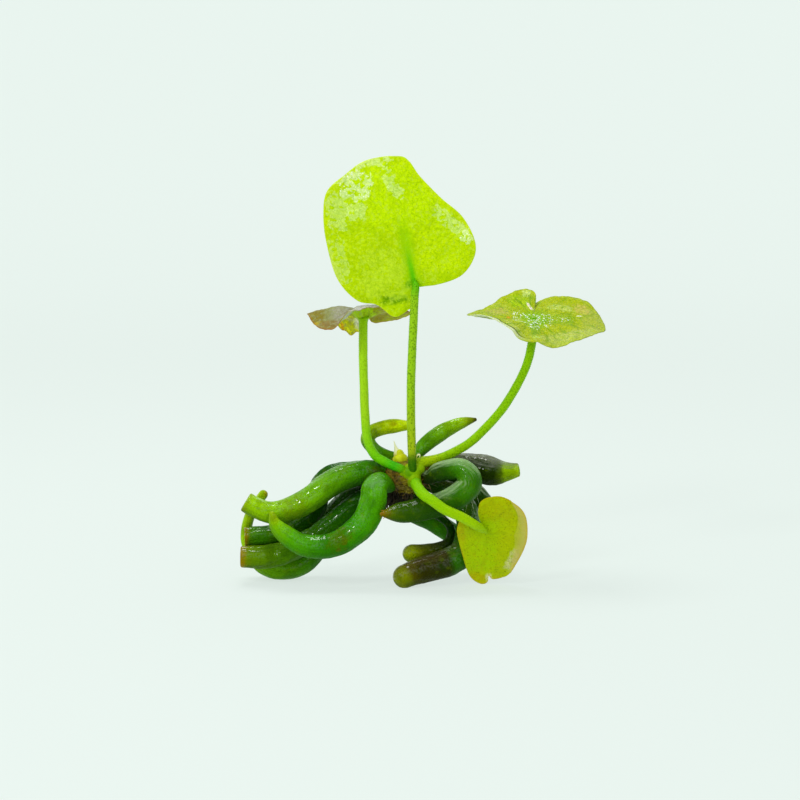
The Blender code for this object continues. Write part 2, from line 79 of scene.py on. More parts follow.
# Routes are (x, y, z, radius) from inside the crown to the tip, as the solids have them.
ROUTES = {
    "tuber_upper_left": [
        (-5.1, 0.5, 22.0, 1.7), (-7.9, -0.4, 22.4, 1.8), (-10.6, -1.5, 22.4, 2.35),
        (-13.2, -2.4, 22.2, 2.65), (-16.6, -3.5, 21.3, 2.7), (-19.4, -4.2, 19.8, 2.7),
        (-21.6, -4.6, 18.1, 2.65), (-24.2, -4.8, 16.4, 2.55), (-26.8, -4.9, 15.3, 2.45),
        (-29.2, -5.0, 14.7, 2.35), (-31.2, -5.0, 14.8, 2.2), (-33.4, -5.0, 15.7, 2.1),
        (-35.1, -5.0, 16.7, 2.05)],
    "tuber_arched_left": [
        (-4.3, 3.0, 21.6, 1.3), (-7.1, 3.9, 21.5, 1.5), (-10.4, 4.3, 21.3, 1.95),
        (-13.4, 3.8, 21.4, 2.2), (-16.0, 3.2, 21.4, 2.3), (-18.3, 2.7, 20.9, 2.35),
        (-20.1, 2.1, 19.8, 2.35), (-21.2, 1.6, 17.9, 2.3), (-21.4, 1.3, 15.4, 2.3),
        (-22.8, 0.8, 12.9, 2.3), (-25.3, 0.5, 11.2, 2.2), (-28.4, -0.2, 9.9, 2.15),
        (-31.8, -0.8, 9.2, 2.1), (-35.6, -1.1, 9.1, 2.05)],
    "tuber_hooked_left": [
        (-5.0, -0.6, 20.3, 1.2), (-6.9, -3.0, 19.8, 1.5), (-8.6, -6.0, 20.8, 2.2),
        (-9.7, -7.5, 19.9, 2.6), (-10.0, -8.3, 17.6, 2.75), (-11.5, -8.8, 13.7, 2.75),
        (-15.0, -9.1, 10.4, 2.6), (-18.2, -9.3, 8.9, 2.5), (-21.4, -9.4, 8.6, 2.4),
        (-24.3, -9.5, 9.2, 2.2), (-27.3, -9.5, 11.1, 1.9), (-29.2, -9.5, 13.1, 1.35),
        (-29.9, -9.4, 15.1, 0.6)],
    "tuber_lower_left": [
        (-4.7, 1.4, 19.8, 1.3), (-7.9, 0.6, 18.5, 1.65), (-10.7, -0.4, 17.4, 2.0),
        (-13.7, -1.4, 15.6, 2.15), (-16.7, -2.1, 13.3, 2.25), (-19.9, -2.6, 10.7, 2.3),
        (-23.7, -3.1, 8.2, 2.35), (-27.7, -3.4, 6.3, 2.42), (-31.9, -3.6, 5.45, 2.46),
        (-36.2, -3.7, 5.5, 2.26)],
    "tuber_curled_left": [
        (-4.4, 3.8, 19.6, 1.1), (-6.6, 5.8, 18.3, 1.35), (-9.1, 5.3, 17.3, 1.8),
        (-12.3, 5.0, 16.8, 2.05), (-15.6, 4.4, 15.4, 2.2), (-18.3, 4.0, 12.4, 2.25),
        (-20.2, 3.5, 8.8, 2.3), (-21.9, 2.7, 5.6, 2.35), (-24.6, 1.7, 3.1, 2.4),
        (-28.2, 1.2, 2.2, 2.45), (-31.5, 1.5, 2.8, 2.35), (-34.0, 2.1, 4.9, 1.95),
        (-35.5, 2.6, 7.5, 1.45), (-35.7, 2.4, 10.3, 1.15), (-34.9, 1.5, 13.1, 1.05),
        (-33.5, 0.7, 15.6, 1.0), (-32.2, 0.3, 17.4, 0.95)],
    "tuber_hairpin_right": [
        (-1.3, -1.4, 21.5, 1.3), (1.1, -3.1, 21.5, 1.45), (2.9, -4.4, 22.6, 1.95),
        (5.0, -5.5, 23.3, 2.1), (7.3, -6.4, 23.6, 2.2), (8.8, -7.2, 22.2, 2.5),
        (8.8, -7.9, 20.4, 2.6), (7.2, -8.4, 18.9, 2.6), (4.5, -8.7, 17.5, 2.55),
        (1.2, -8.9, 16.5, 2.45), (-2.3, -9.2, 15.7, 2.3), (-5.5, -10.2, 15.5, 1.85),
        (-8.2, -11.6, 15.5, 0.5)],
    "tuber_dark_right": [
        (-1.7, 1.4, 22.4, 1.4), (0.7, 2.0, 22.8, 1.5), (3.4, 2.9, 23.1, 2.0),
        (6.4, 2.7, 23.2, 2.35), (9.4, 1.7, 22.9, 2.75), (12.6, 0.7, 22.3, 3.1),
        (14.9, 0.0, 22.1, 2.65), (16.7, -0.4, 22.2, 2.0), (18.9, -0.8, 22.6, 1.4)],
    "tuber_foot_right": [
        (-2.0, 2.0, 20.4, 1.2), (0.4, 2.9, 19.4, 1.4), (3.0, 3.2, 18.5, 1.8),
        (5.8, 2.8, 17.3, 2.15), (8.0, 1.7, 15.1, 2.45), (9.1, 0.3, 12.2, 2.6),
        (9.1, -1.0, 9.0, 2.75), (7.9, -2.4, 6.1, 2.85), (5.4, -3.7, 4.6, 2.9),
        (2.9, -4.8, 3.9, 2.85), (0.6, -5.7, 3.5, 2.75), (-1.6, -6.4, 2.9, 2.6),
        (-3.7, -6.9, 2.2, 2.45)],
    "tuber_thin_neck_right": [
        (-3.5, -0.4, 19.7, 1.1), (-2.3, -0.6, 17.5, 1.1), (-0.3, -1.0, 15.7, 1.1),
        (2.1, -0.7, 13.9, 0.95), (4.3, -0.2, 12.2, 0.85), (5.5, 0.7, 10.4, 0.85),
        (5.4, 0.8, 8.6, 0.9), (4.6, 0.6, 7.1, 1.2), (2.5, -0.1, 6.1, 1.6),
        (0.1, -1.1, 5.8, 1.8), (-2.3, -1.8, 5.8, 1.9)],
    "tuber_back_gap": [
        (-3.4, 1.6, 18.4, 1.0), (-4.4, 2.5, 16.6, 1.45), (-3.9, 3.5, 14.7, 1.9),
        (-1.6, 4.6, 12.9, 2.15), (1.2, 5.2, 11.5, 2.2), (3.6, 5.6, 10.0, 2.2),
        (5.9, 5.9, 8.5, 2.1), (8.6, 6.1, 6.8, 2.0), (11.0, 6.1, 5.4, 1.8), (13.1, 5.9, 3.8, 1.5)],
    "tuber_back_right": [
        (-1.7, 4.2, 21.8, 1.1), (1.4, 5.4, 21.4, 1.2), (4.7, 6.6, 20.2, 1.55),
        (7.8, 7.2, 18.5, 1.95), (10.8, 7.4, 16.3, 2.15), (12.9, 8.2, 13.1, 2.2),
        (13.8, 9.4, 9.4, 2.2), (13.9, 10.4, 5.6, 2.1), (13.7, 10.6, 1.8, 2.0)],
    "tuber_up_left": [
        (-4.5, 1.6, 23.4, 1.0), (-5.9, 1.8, 24.8, 1.0), (-7.5, 2.6, 25.1, 1.15),
        (-9.8, 3.5, 26.1, 1.3), (-11.2, 4.1, 27.9, 1.45), (-10.4, 4.5, 29.5, 1.5),
        (-7.9, 4.9, 30.4, 1.5), (-5.5, 5.1, 30.7, 1.45), (-2.9, 5.2, 30.8, 1.0)],
    "tuber_up_right": [
        (-2.7, 1.8, 23.4, 1.1), (-1.3, 2.7, 25.3, 1.25), (0.1, 3.5, 26.8, 1.55),
        (2.0, 4.2, 28.3, 1.7), (4.1, 5.0, 29.6, 1.65), (6.4, 5.6, 30.7, 1.4),
        (8.5, 6.1, 31.4, 1.05), (10.5, 6.4, 31.8, 0.4)],
    "stalk_tall": [
        (-2.1, -3.4, 22.2, 0.8), (-2.2, -4.6, 23.0, 0.85), (-2.3, -4.5, 25.2, 0.88),
        (-2.4, -3.9, 28.6, 0.92), (-2.5, -3.1, 33.0, 0.92), (-2.5, -2.3, 40.8, 0.92),
        (-2.1, -1.3, 50.7, 0.9), (-1.8, -0.4, 56.8, 0.88), (-1.6, 0.1, 59.2, 0.8)],
    "stalk_left": [
        (-4.1, -4.3, 23.1, 0.93), (-4.9, -4.7, 23.6, 0.95), (-6.1, -4.3, 24.0, 0.98),
        (-7.8, -3.6, 24.7, 1.0), (-9.8, -2.8, 26.0, 1.0), (-11.2, -1.4, 28.8, 0.98),
        (-11.7, 0.2, 33.6, 0.96), (-11.9, 1.8, 38.4, 0.95), (-12.1, 3.5, 44.3, 0.95),
        (-12.1, 5.1, 51.2, 0.98)],
    "stalk_right": [
        (-1.3, -2.6, 23.7, 1.15), (-0.2, -2.4, 24.4, 1.08), (1.3, -1.9, 24.6, 1.08),
        (3.0, -1.4, 25.0, 1.0), (5.8, -1.1, 26.1, 0.98), (9.7, -1.0, 28.5, 0.95),
        (14.6, -0.8, 33.5, 0.94), (17.7, -0.4, 37.9, 0.92), (20.4, 0.2, 43.2, 0.92),
        (21.6, 0.7, 48.0, 0.94), (21.8, 1.1, 52.1, 0.94)],
    "stalk_small": [
        (-1.6, -3.4, 20.6, 1.0), (-1.6, -5.6, 20.8, 1.0), (-1.5, -8.4, 20.8, 1.08),
        (-0.3, -11.2, 19.5, 1.15), (1.7, -12.6, 18.3, 1.12), (4.2, -13.1, 16.6, 1.08),
        (7.4, -12.9, 15.1, 1.05), (9.8, -12.2, 13.6, 0.98), (11.4, -11.1, 12.5, 0.85)],
    "crown_bud": [
        (-5.0, -0.8, 24.4, 0.9), (-5.0, -0.9, 25.3, 1.3), (-5.1, -0.8, 26.0, 1.0),
        (-5.5, -0.7, 26.7, 0.45), (-5.8, -0.6, 27.5, 0.28), (-5.9, -0.4, 28.4, 0.1)],
}

# Past its solid, each stalk dives into the sheath at its foot and runs on into its blade.
STALK_HEADS = {
    "stalk_tall": [(-2.0, -2.6, 21.6, 0.6)],
    "stalk_left": [(-1.9, -3.6, 21.7, 0.7), (-3.0, -4.2, 22.4, 0.9)],
    "stalk_right": [(-2.2, -2.4, 22.9, 0.8)],
    "stalk_small": [(-1.9, -2.2, 20.9, 0.8)],
}
STALK_TAILS = {
    "stalk_tall": [(-1.75, 0.9, 60.0, 0.6), (-1.9, 1.5, 60.6, 0.3)],
    "stalk_left": [(-12.1, 5.15, 52.0, 1.05), (-12.1, 5.0, 52.6, 1.2), (-12.1, 4.8, 53.0, 1.3)],
    "stalk_right": [(21.8, 1.2, 52.9, 0.9)],
    "stalk_small": [(12.0, -10.1, 12.0, 0.66), (12.4, -9.5, 11.4, 0.35)],
}

# A leaf's rim is (across, along, lift) from where its stalk joins, as the solids have it,
# but for the right leaf's notch, whose sides overlap a little here.
RIMS = {
    "leaf_tall": dict(join=(-1.9, 1.6, 59.5), lean=8, arch=0, rim=[
        (1.2, -0.4, 0), (5.2, 0.2, 0), (9.2, 1.7, 0.2), (11.7, 4.8, 0.5), (12.2, 8.4, 0.4),
        (9.8, 13.5, 0), (5.4, 17.4, 0), (1.1, 21.8, 0.2), (-1.0, 24.7, 0.4), (-3.2, 25.7, 0.4),
        (-9.4, 25.0, 0), (-13.8, 22.0, 0), (-17.3, 18.8, 0), (-18.1, 14.6, 0), (-17.5, 8.5, 0),
        (-15.3, 1.2, 0), (-11.4, -3.1, 0), (-7.4, -4.0, 0), (-3.9, -6.4, 0), (-0.8, -4.8, 0)]),
    "leaf_left": dict(join=(-12.1, 5.3, 51.8), lean=90, arch=1.6, rim=[
        (1.1, 5.0, 0.4), (2.1, 8.0, -0.9), (6.0, 8.2, -0.4), (9.5, 4.0, 1.2), (8.7, 1.2, 2.2),
        (6.2, -1.6, 3.0), (2.9, -3.4, 2.9), (0.1, -6.2, 2.9), (-2.6, -8.0, 2.6), (-4.0, -8.8, 1.4),
        (-5.6, -9.4, -0.5), (-8.0, -8.8, -0.6), (-9.4, -7.0, -0.2), (-11.2, -1.8, 1.4),
        (-10.5, 2.0, 1.3), (-8.6, 5.4, 1.5), (-6.9, 7.3, 1.2), (-5.4, 8.4, -1.4),
        (-3.8, 8.9, -2.7), (-2.2, 8.8, -3.2), (-1.0, 7.6, -2.6)]),
    "leaf_right": dict(join=(21.8, 1.2, 52.9), lean=69, arch=0, rim=[
        (0.2, 6.0, -0.4), (1.3, 7.6, -0.1), (3.4, 8.9, 0.2), (6.8, 9.7, 0.3), (11.2, 8.3, -0.2),
        (13.5, 4.5, -1.1), (14.4, -1.0, -1.5), (13.9, -3.5, -1.4), (11.1, -7.0, -0.5),
        (7.7, -9.5, -0.5), (3.3, -11.5, -0.7), (0.1, -12.3, 0.8), (-3.1, -11.8, 0.9),
        (-5.3, -10.0, 2.7), (-9.2, -5.0, 2.8), (-13.2, -0.8, 1.1), (-8.8, 4.5, 0.5),
        (-5.5, 8.3, 0.9), (-1.7, 10.6, 1.2), (0.3, 10.0, 1.4), (1.0, 8.4, 1.3), (0.7, 6.6, 0.8)]),
    "leaf_small": dict(join=(12.1, -9.3, 12.1), lean=-24, arch=0, rim=[
        (-1.2, 2.1, 0), (-1.5, 4.3, 0), (-0.8, 6.7, 0), (2.2, 7.9, 0.2), (5.1, 6.8, 0.3),
        (7.6, 4.1, 0.5), (8.3, -0.2, 0.6), (7.7, -4.4, 0.6), (5.2, -10.1, 0.3), (3.5, -11.7, 0),
        (1.7, -12.0, 0), (0.9, -11.2, 0), (0.7, -12.7, 0), (-0.6, -13.2, 0), (-2.9, -11.3, 0),
        (-4.5, -5.8, 0), (-5.6, -0.5, 0.2), (-5.1, 2.0, 0), (-4.3, 2.7, 0)]),
}


def tint(red, green, blue):
    """A screen colour, 0 to 255, as the linear colour that shaders work in."""
    part = np.array((red, green, blue)) / 255
    linear = np.where(part <= 0.04045, part / 12.92, ((part + 0.055) / 1.055) ** 2.4)
    return tuple(float(value) for value in linear)


# Curves and grids

def smooth_curve(points, count):
    """Even steps along the Catmull-Rom curve through the points, and the distance run.

    Between b and c of four points a, b, c, d it is
    b + ((c - a) t + (2a - 5b + 4c - d) t^2 + (3b - a - 3c + d) t^3) / 2.
    """
    knots = np.asarray(points, float)
    knots = np.vstack([2 * knots[0] - knots[1], knots, 2 * knots[-1] - knots[-2]])
    a, b, c, d = (knots[i:len(knots) - 3 + i, None, :] for i in range(4))
    t = np.linspace(0, 1, 24, endpoint=False)[None, :, None]
    fine = b + 0.5 * ((c - a) * t + (2 * a - 5 * b + 4 * c - d) * t ** 2
                      + (3 * b - a - 3 * c + d) * t ** 3)
    fine = np.vstack([fine.reshape(-1, knots.shape[1]), knots[-2:-1]])
    steps = np.linalg.norm(np.diff(fine[:, :3], axis=0), axis=1)
    length = np.concatenate([[0], np.cumsum(steps)])
    even = np.linspace(0, length[-1], count)
    return np.stack([np.interp(even, length, column) for column in fine.T], axis=1), even


def unit(vectors):
    """The vectors at length 1."""
    return vectors / np.maximum(np.linalg.norm(vectors, axis=-1, keepdims=True), 1e-12)


def smooth_step(value, low, high):
    """0 below low, 1 above high, and 3t^2 - 2t^3 between."""
    t = np.clip((value - low) / (high - low), 0, 1)
    return t * t * (3 - 2 * t)


def waves(points, seed, size, count=14):
    """A smooth bumpy field from -1 to 1: a mean of sine waves of about this size (mm)."""
    draw = np.random.default_rng(seed)
    ways = unit(draw.normal(size=(count, 3))) * draw.uniform(0.7, 1.5, (count, 1))
    shifts = draw.uniform(0, 2 * math.pi, count)
    return np.sin(points @ ways.T * 2 * math.pi / size + shifts).sum(axis=-1) / math.sqrt(count)


def quads(rows, columns, wrap):
    """The four-sided faces of a grid, its last column joined to the first if it wraps."""
    corner = np.arange(rows * columns).reshape(rows, columns)
    after = np.roll(corner, -1, axis=1)
    faces = np.stack([corner[:-1], after[:-1], after[1:], corner[1:]], axis=-1)
    if not wrap:
        faces = faces[:, :-1]
    return faces.reshape(-1, 4)


def add_piece(name, points, faces, attributes, material, replaces, slot):
    """A smooth piece from points (mm) and faces, riding on the plant's body."""
    mesh = bpy.data.meshes.new(name)
    inside = np.clip(np.asarray(points) * MM, *np.asarray(CAD_BOX))
    mesh.from_pydata(inside.tolist(), [], faces)
    for key, values in attributes.items():
        layer = mesh.attributes.new(key, "FLOAT_VECTOR", "POINT")
        layer.data.foreach_set("vector", np.asarray(values, np.float32).ravel())
    mesh.shade_smooth()
    mesh.materials.append(material)
    piece = bpy.data.objects.new(name, mesh)
    bpy.context.scene.collection.objects.link(piece)
    if replaces:
        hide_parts(replaces)
    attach(piece, BODY)
    return piece


# How a tuber or stalk ends: a profile of (distance past the last route point, share of the
# radius), both in radii of its end, and which of its rings is the outermost one.
def round_end(rings=10):
    """A quarter circle."""
    turn = np.linspace(0, math.pi / 2, rings + 1)[1:-1]
    return np.stack([np.sin(turn), np.cos(turn)], axis=1), -1


def blunt_end(rings=12):
    """A rounded rim, then a shallow dish towards the middle."""
    turn = np.linspace(0, math.pi / 2, 7)[1:]
    rim = np.stack([0.16 * np.sin(turn), 0.84 + 0.16 * np.cos(turn)], axis=1)
    share = np.linspace(0.84, 0, rings)[1:-1]
    dish = np.stack([0.16 - 0.34 * (1 - (share / 0.84) ** 2), share], axis=1)
    return np.vstack([rim, dish]), len(rim) - 1


def tube(route, rings, sides, end, reference, relief):
    """A closed tube along a route: its points, faces and attributes.

    A point stands at centre + radius * relief(along, angle, place) * (first * cos(angle)
    + second * sin(angle)), where first is the reference direction less its part along the
    route and second is square to both. The end's rings carry on along the last direction.
    The attribute strand follows the skin. The attribute run is the distance from the rim
    of the tip (below 0 on a cut face), the distance from the crown, and how far the point
    faces up, -1 to 1.
    """
    curve, along = smooth_curve(route, rings)
    centres, radii = curve[:, :3], curve[:, 3]
    tangent = unit(np.gradient(centres, axis=0))
    profile, rim = end
    last = radii[-1]
    steps = np.diff(np.vstack([(0, 1), profile]), axis=0)
    path = np.cumsum(np.linalg.norm(steps, axis=1)) * last
    centres = np.vstack([centres, centres[-1] + tangent[-1] * profile[:, :1] * last])
    along = np.concatenate([along, along[-1] + path])
    radii = np.concatenate([radii, profile[:, 1] * last])
    tangent = np.vstack([tangent, np.repeat(tangent[-1:], len(profile), axis=0)])
    reference = np.asarray(reference, float)
    first = unit(reference - tangent * (tangent @ reference)[:, None])
    second = np.cross(tangent, first)

    angle = np.arange(sides) * 2 * math.pi / sides
    spokes = first[:, None] * np.cos(angle)[:, None] + second[:, None] * np.sin(angle)[:, None]
    place = centres[:, None] + spokes * radii[:, None, None]
    swell = relief(along[:, None], angle[None, :], place)
    points = centres[:, None] + spokes * (radii[:, None] * swell)[..., None]

    total = along[len(curve) + rim] if rim >= 0 else along[-1]
    strand = np.stack(np.broadcast_arrays(
        np.cos(angle) * radii.max(), np.sin(angle) * radii.max(), along[:, None] * 0.12), axis=-1)
    run = np.stack(np.broadcast_arrays(
        total - along[:, None], along[:, None], spokes[..., 2]), axis=-1)
    rows = len(centres)
    faces = quads(rows, sides, True).tolist()
    side = np.arange(sides)
    after = (side + 1) % sides
    start, tip = rows * sides, rows * sides + 1
    bottom = (rows - 1) * sides
    faces += np.stack([after, side, np.full(sides, start)], axis=1).tolist()
    faces += np.stack([bottom + side, bottom + after, np.full(sides, tip)], axis=1).tolist()
    tip_point = points[-1].mean(axis=0)
    points = np.vstack([points.reshape(-1, 3), centres[:1], tip_point])
    strand = np.vstack([strand.reshape(-1, 3), (0, 0, 0), (0, 0, total * 0.12)])
    run = np.vstack([run.reshape(-1, 3), (total, 0, 0), (total - along[-1], along[-1], 0)])
    return points, faces, {"strand": strand, "run": run}


def ball(rows, columns):
    """A unit ball: (sin p cos q, sin p sin q, cos p) on a grid of p and q, and both poles."""
    polar = np.linspace(0, math.pi, rows + 2)[1:-1, None]
    turn = np.linspace(0, 2 * math.pi, columns, endpoint=False)[None, :]
    grid = np.stack(np.broadcast_arrays(
        np.sin(polar) * np.cos(turn), np.sin(polar) * np.sin(turn), np.cos(polar)), axis=-1)
    points = np.vstack([grid.reshape(-1, 3), (0, 0, 1), (0, 0, -1)])
    side = np.arange(columns)
    after = (side + 1) % columns
    bottom, total = (rows - 1) * columns, rows * columns
    faces = quads(rows, columns, True)[:, ::-1].tolist()
    faces += np.stack([side, after, np.full(columns, total)], axis=1).tolist()
    faces += np.stack([bottom + after, bottom + side, np.full(columns, total + 1)],
                      axis=1).tolist()
    return points, faces


def copies(faces, size, count):
    """The faces of count copies of a form that has size points."""
    return [[corner + shift for corner in face]
            for shift in range(0, count * size, size) for face in faces]


def flakes(centres, outward, up, sizes, seed, curl=0.35, lean=0.45):
    """Small bent flakes, thick in the middle and thin at the rim: points and faces.

    A flake is a ball squeezed to (width, thickness, length), pinched towards its top and
    bent outwards by curl * (height on the flake)^2. It stands on the surface with its
    length along up, turned at random, and leans outwards.
    """
    draw = np.random.default_rng(seed)
    count = len(centres)
    turn = draw.normal(0, 0.5, (count, 1))
    across = unit(np.cross(up, outward))
    rise = unit(np.cross(outward, across))
    across, rise = (across * np.cos(turn) + rise * np.sin(turn),
                    rise * np.cos(turn) - across * np.sin(turn))
    rise, face = (unit(rise + outward * lean), unit(outward - rise * lean))
    form, faces = ball(7, 10)
    faces = [face[::-1] for face in faces]  # across, face and rise are left-handed
    x, y, z = form.T
    pinch = 1 - 0.55 * smooth_step(z, 0.0, 1.0)
    bent = np.stack([x * pinch, y * (1 - 0.5 * z * z) + curl * (z + 1) ** 2, z], axis=1)
    size = sizes[:, None, :] * bent[None, :, :]
    points = (centres[:, None] + size[..., :1] * across[:, None] + size[..., 1:2] * face[:, None]
              + size[..., 2:] * rise[:, None])
    return points.reshape(-1, 3), copies(faces, len(form), count)


def fibres(starts, ways, lengths, radii, sag, seed, rings=9, sides=5):
    """Thin tapering fibres, all at once: points and faces.

    Point t of a fibre, 0 to 1, stands at start + way * length * t, less sag * length * t^2
    in height, plus a sideways waver of sin(5 t + phase) * length / 12. The rings around it
    shrink to a fifth of the radius.
    """
    draw = np.random.default_rng(seed)
    count = len(starts)
    t = np.linspace(0, 1, rings)[None, :, None]
    length = lengths[:, None, None]
    waver = unit(draw.normal(size=(count, 1, 3)))
    phase = draw.uniform(0, 6, (count, 1, 1))
    centres = (starts[:, None] + ways[:, None] * length * t
               - np.array((0, 0, 1.0)) * sag * length * t ** 2
               + waver * (np.sin(5 * t + phase) - np.sin(phase)) * length / 12)
    tangent = unit(np.gradient(centres, axis=1))
    first = unit(np.cross(tangent, waver))
    second = np.cross(tangent, first)
    angle = (np.arange(sides) * 2 * math.pi / sides)[:, None]
    spokes = first[:, :, None] * np.cos(angle) + second[:, :, None] * np.sin(angle)
    thick = (radii[:, None, None] * (1 - 0.8 * t))[..., None]
    points = centres[:, :, None] + spokes * thick
    faces = quads(rings, sides, True).tolist()
    faces.append(list(range(sides))[::-1])
    faces.append(list(range((rings - 1) * sides, rings * sides)))
    return points.reshape(-1, 3), copies(faces, rings * sides, count)


FLAT_END = np.array([(0.02, 0.7), (0.03, 0.35)]), -1


# Shader maths

class Value:
    """A shader socket that can be added, taken away, multiplied, divided and compared."""

    def __init__(self, tree, socket):
        self.tree = tree
        self.socket = socket

    def calc(self, operation, *others, clamp=False):
        settings = {"operation": operation, "use_clamp": clamp}
        return node(self.tree, "ShaderNodeMath", settings, dict(enumerate((self, *others))))

    def __add__(self, other):
        return self.calc("ADD", other)

    def __radd__(self, other):
        return self.calc("ADD", other)

    def __mul__(self, other):
        return self.calc("MULTIPLY", other)

    def __rmul__(self, other):
        return self.calc("MULTIPLY", other)

    def __sub__(self, other):
        return self.calc("SUBTRACT", other)

    def __rsub__(self, other):
        return node(self.tree, "ShaderNodeMath", {"operation": "SUBTRACT"}, {0: other, 1: self})

    def __truediv__(self, other):
        return self.calc("DIVIDE", other)

    def __pow__(self, other):
        return self.calc("POWER", other)

    def most(self, other):
        return self.calc("MAXIMUM", other)

    def step(self, low, high):
        """0 below low, 1 above high, smooth between."""
        settings = {"interpolation_type": "SMOOTHSTEP"}
        return node(self.tree, "ShaderNodeMapRange", settings, {0: self, 1: low, 2: high})


def node(tree, kind, settings=None, sockets=None, out=0):
    """A node of this kind. Settings come first, then its sockets' values or links."""
    made = tree.nodes.new(kind)
    for key, value in (settings or {}).items():
        if key == "stops":
            ramp = made.color_ramp
            while len(ramp.elements) < len(value):
                ramp.elements.new(0.5)
            for element, (position, colour) in zip(ramp.elements, value):
                element.position = position
                element.color = (*colour, 1)
        else:
            setattr(made, key, value)
    for key, value in (sockets or {}).items():
        if isinstance(value, Value):
            tree.links.new(value.socket, made.inputs[key])
        elif isinstance(value, tuple) and len(value) == 3 and made.inputs[key].type == "RGBA":
            made.inputs[key].default_value = (*value, 1)
        else:
            made.inputs[key].default_value = value
    return Value(tree, made.outputs[out])


class Finish:
    """A new material and the few patterns that the plant's surfaces are made of."""

    def __init__(self, name):
        self.material = bpy.data.materials.new(name)
        self.material.use_nodes = True
        self.tree = self.material.node_tree
        self.tree.nodes.clear()
        self.place = self.node("ShaderNodeTexCoord", out="Object")

    def node(self, kind, settings=None, sockets=None, out=0):
        return node(self.tree, kind, settings, sockets, out)

    def attribute(self, name):
        return self.node("ShaderNodeAttribute", {"attribute_name": name}, out="Vector")

    def parts(self, vector):
        """A vector's three numbers."""
        split = self.node("ShaderNodeSeparateXYZ", sockets={0: vector})
        return [Value(self.tree, socket) for socket in split.socket.node.outputs]

    def noise(self, vector, scale, detail=2.0, rough=0.5, distortion=0.0):
        return self.node("ShaderNodeTexNoise", None, {
            "Vector": vector, "Scale": scale, "Detail": detail, "Roughness": rough,
            "Distortion": distortion})

    def cells(self, vector, scale, feature="DISTANCE_TO_EDGE"):
        return self.node("ShaderNodeTexVoronoi", {"feature": feature},
                         {"Vector": vector, "Scale": scale}, out="Distance")

    def mix(self, factor, a, b, blend="MIX"):
        return self.node("ShaderNodeMix", {"data_type": "RGBA", "blend_type": blend},
                         {0: factor, 6: a, 7: b}, out=2)

    def ramp(self, factor, stops):
        return self.node("ShaderNodeValToRGB", {"stops": stops}, {0: factor})

    def spot(self, centre, radius, ragged=0.0):
        """1 within a ball (mm) of the plant and 0 outside, with a soft edge."""
        way = self.node("ShaderNodeVectorMath", {"operation": "DISTANCE"}, {
            0: self.place, 1: tuple(value * MM for value in centre)}, out="Value")
        way = way / (radius * MM)
        if ragged:
            way = way + (self.noise(self.place, 900.0, 3.0) - 0.5) * ragged
        return 1 - way.step(0.4, 1.2)

    def patch(self, x, y, centre, half, turn=0, ragged=0.0):
        """1 within a rounded box of the blade's own plane (mm, degrees) and 0 outside."""
        cos, sin = math.cos(math.radians(turn)), math.sin(math.radians(turn))
        x = x - centre[0]
        y = y - centre[1]
        long = ((x * cos + y * sin) / half[0]).calc("ABSOLUTE")
        wide = ((y * cos - x * sin) / half[1]).calc("ABSOLUTE")
        way = (long ** 4 + wide ** 4) ** 0.25
        if ragged:
            way = way + (self.noise(self.place, 1100.0, 3.0) - 0.5) * ragged
        return 1 - way.step(0.6, 1.1)

    def surface(self, colour, roughness, height=None, bump=0.0, distance=0.0001, **constants):
        """The Principled shader, its bump and the output."""
        sockets = {"Base Color": colour, "Roughness": roughness, "Metallic": 0.0}
        sockets.update(constants)
        if height is not None:
            sockets["Normal"] = self.node("ShaderNodeBump", None, {
                "Strength": bump, "Distance": distance, "Height": height})
        shader = self.node("ShaderNodeBsdfPrincipled", None, sockets)
        self.node_output(shader)
        return self.material

    def node_output(self, shader):
        output = self.tree.nodes.new("ShaderNodeOutputMaterial")
        self.tree.links.new(shader.socket, output.inputs["Surface"])


# Colours

GREEN = tint(66, 138, 0)
DEEP_GREEN = tint(12, 62, 0)
DARK_GREEN = tint(30, 78, 0)
OLIVE = tint(112, 138, 0)
LIME = tint(150, 202, 0)
BROWN = tint(84, 62, 4)
DARK_BROWN = tint(46, 36, 2)
PURPLE_BROWN = tint(44, 38, 18)
RUST = tint(164, 104, 10)
BARK = tint(112, 82, 26)
STRAW = tint(216, 208, 120)
SHEATH_GREEN = tint(132, 180, 0)

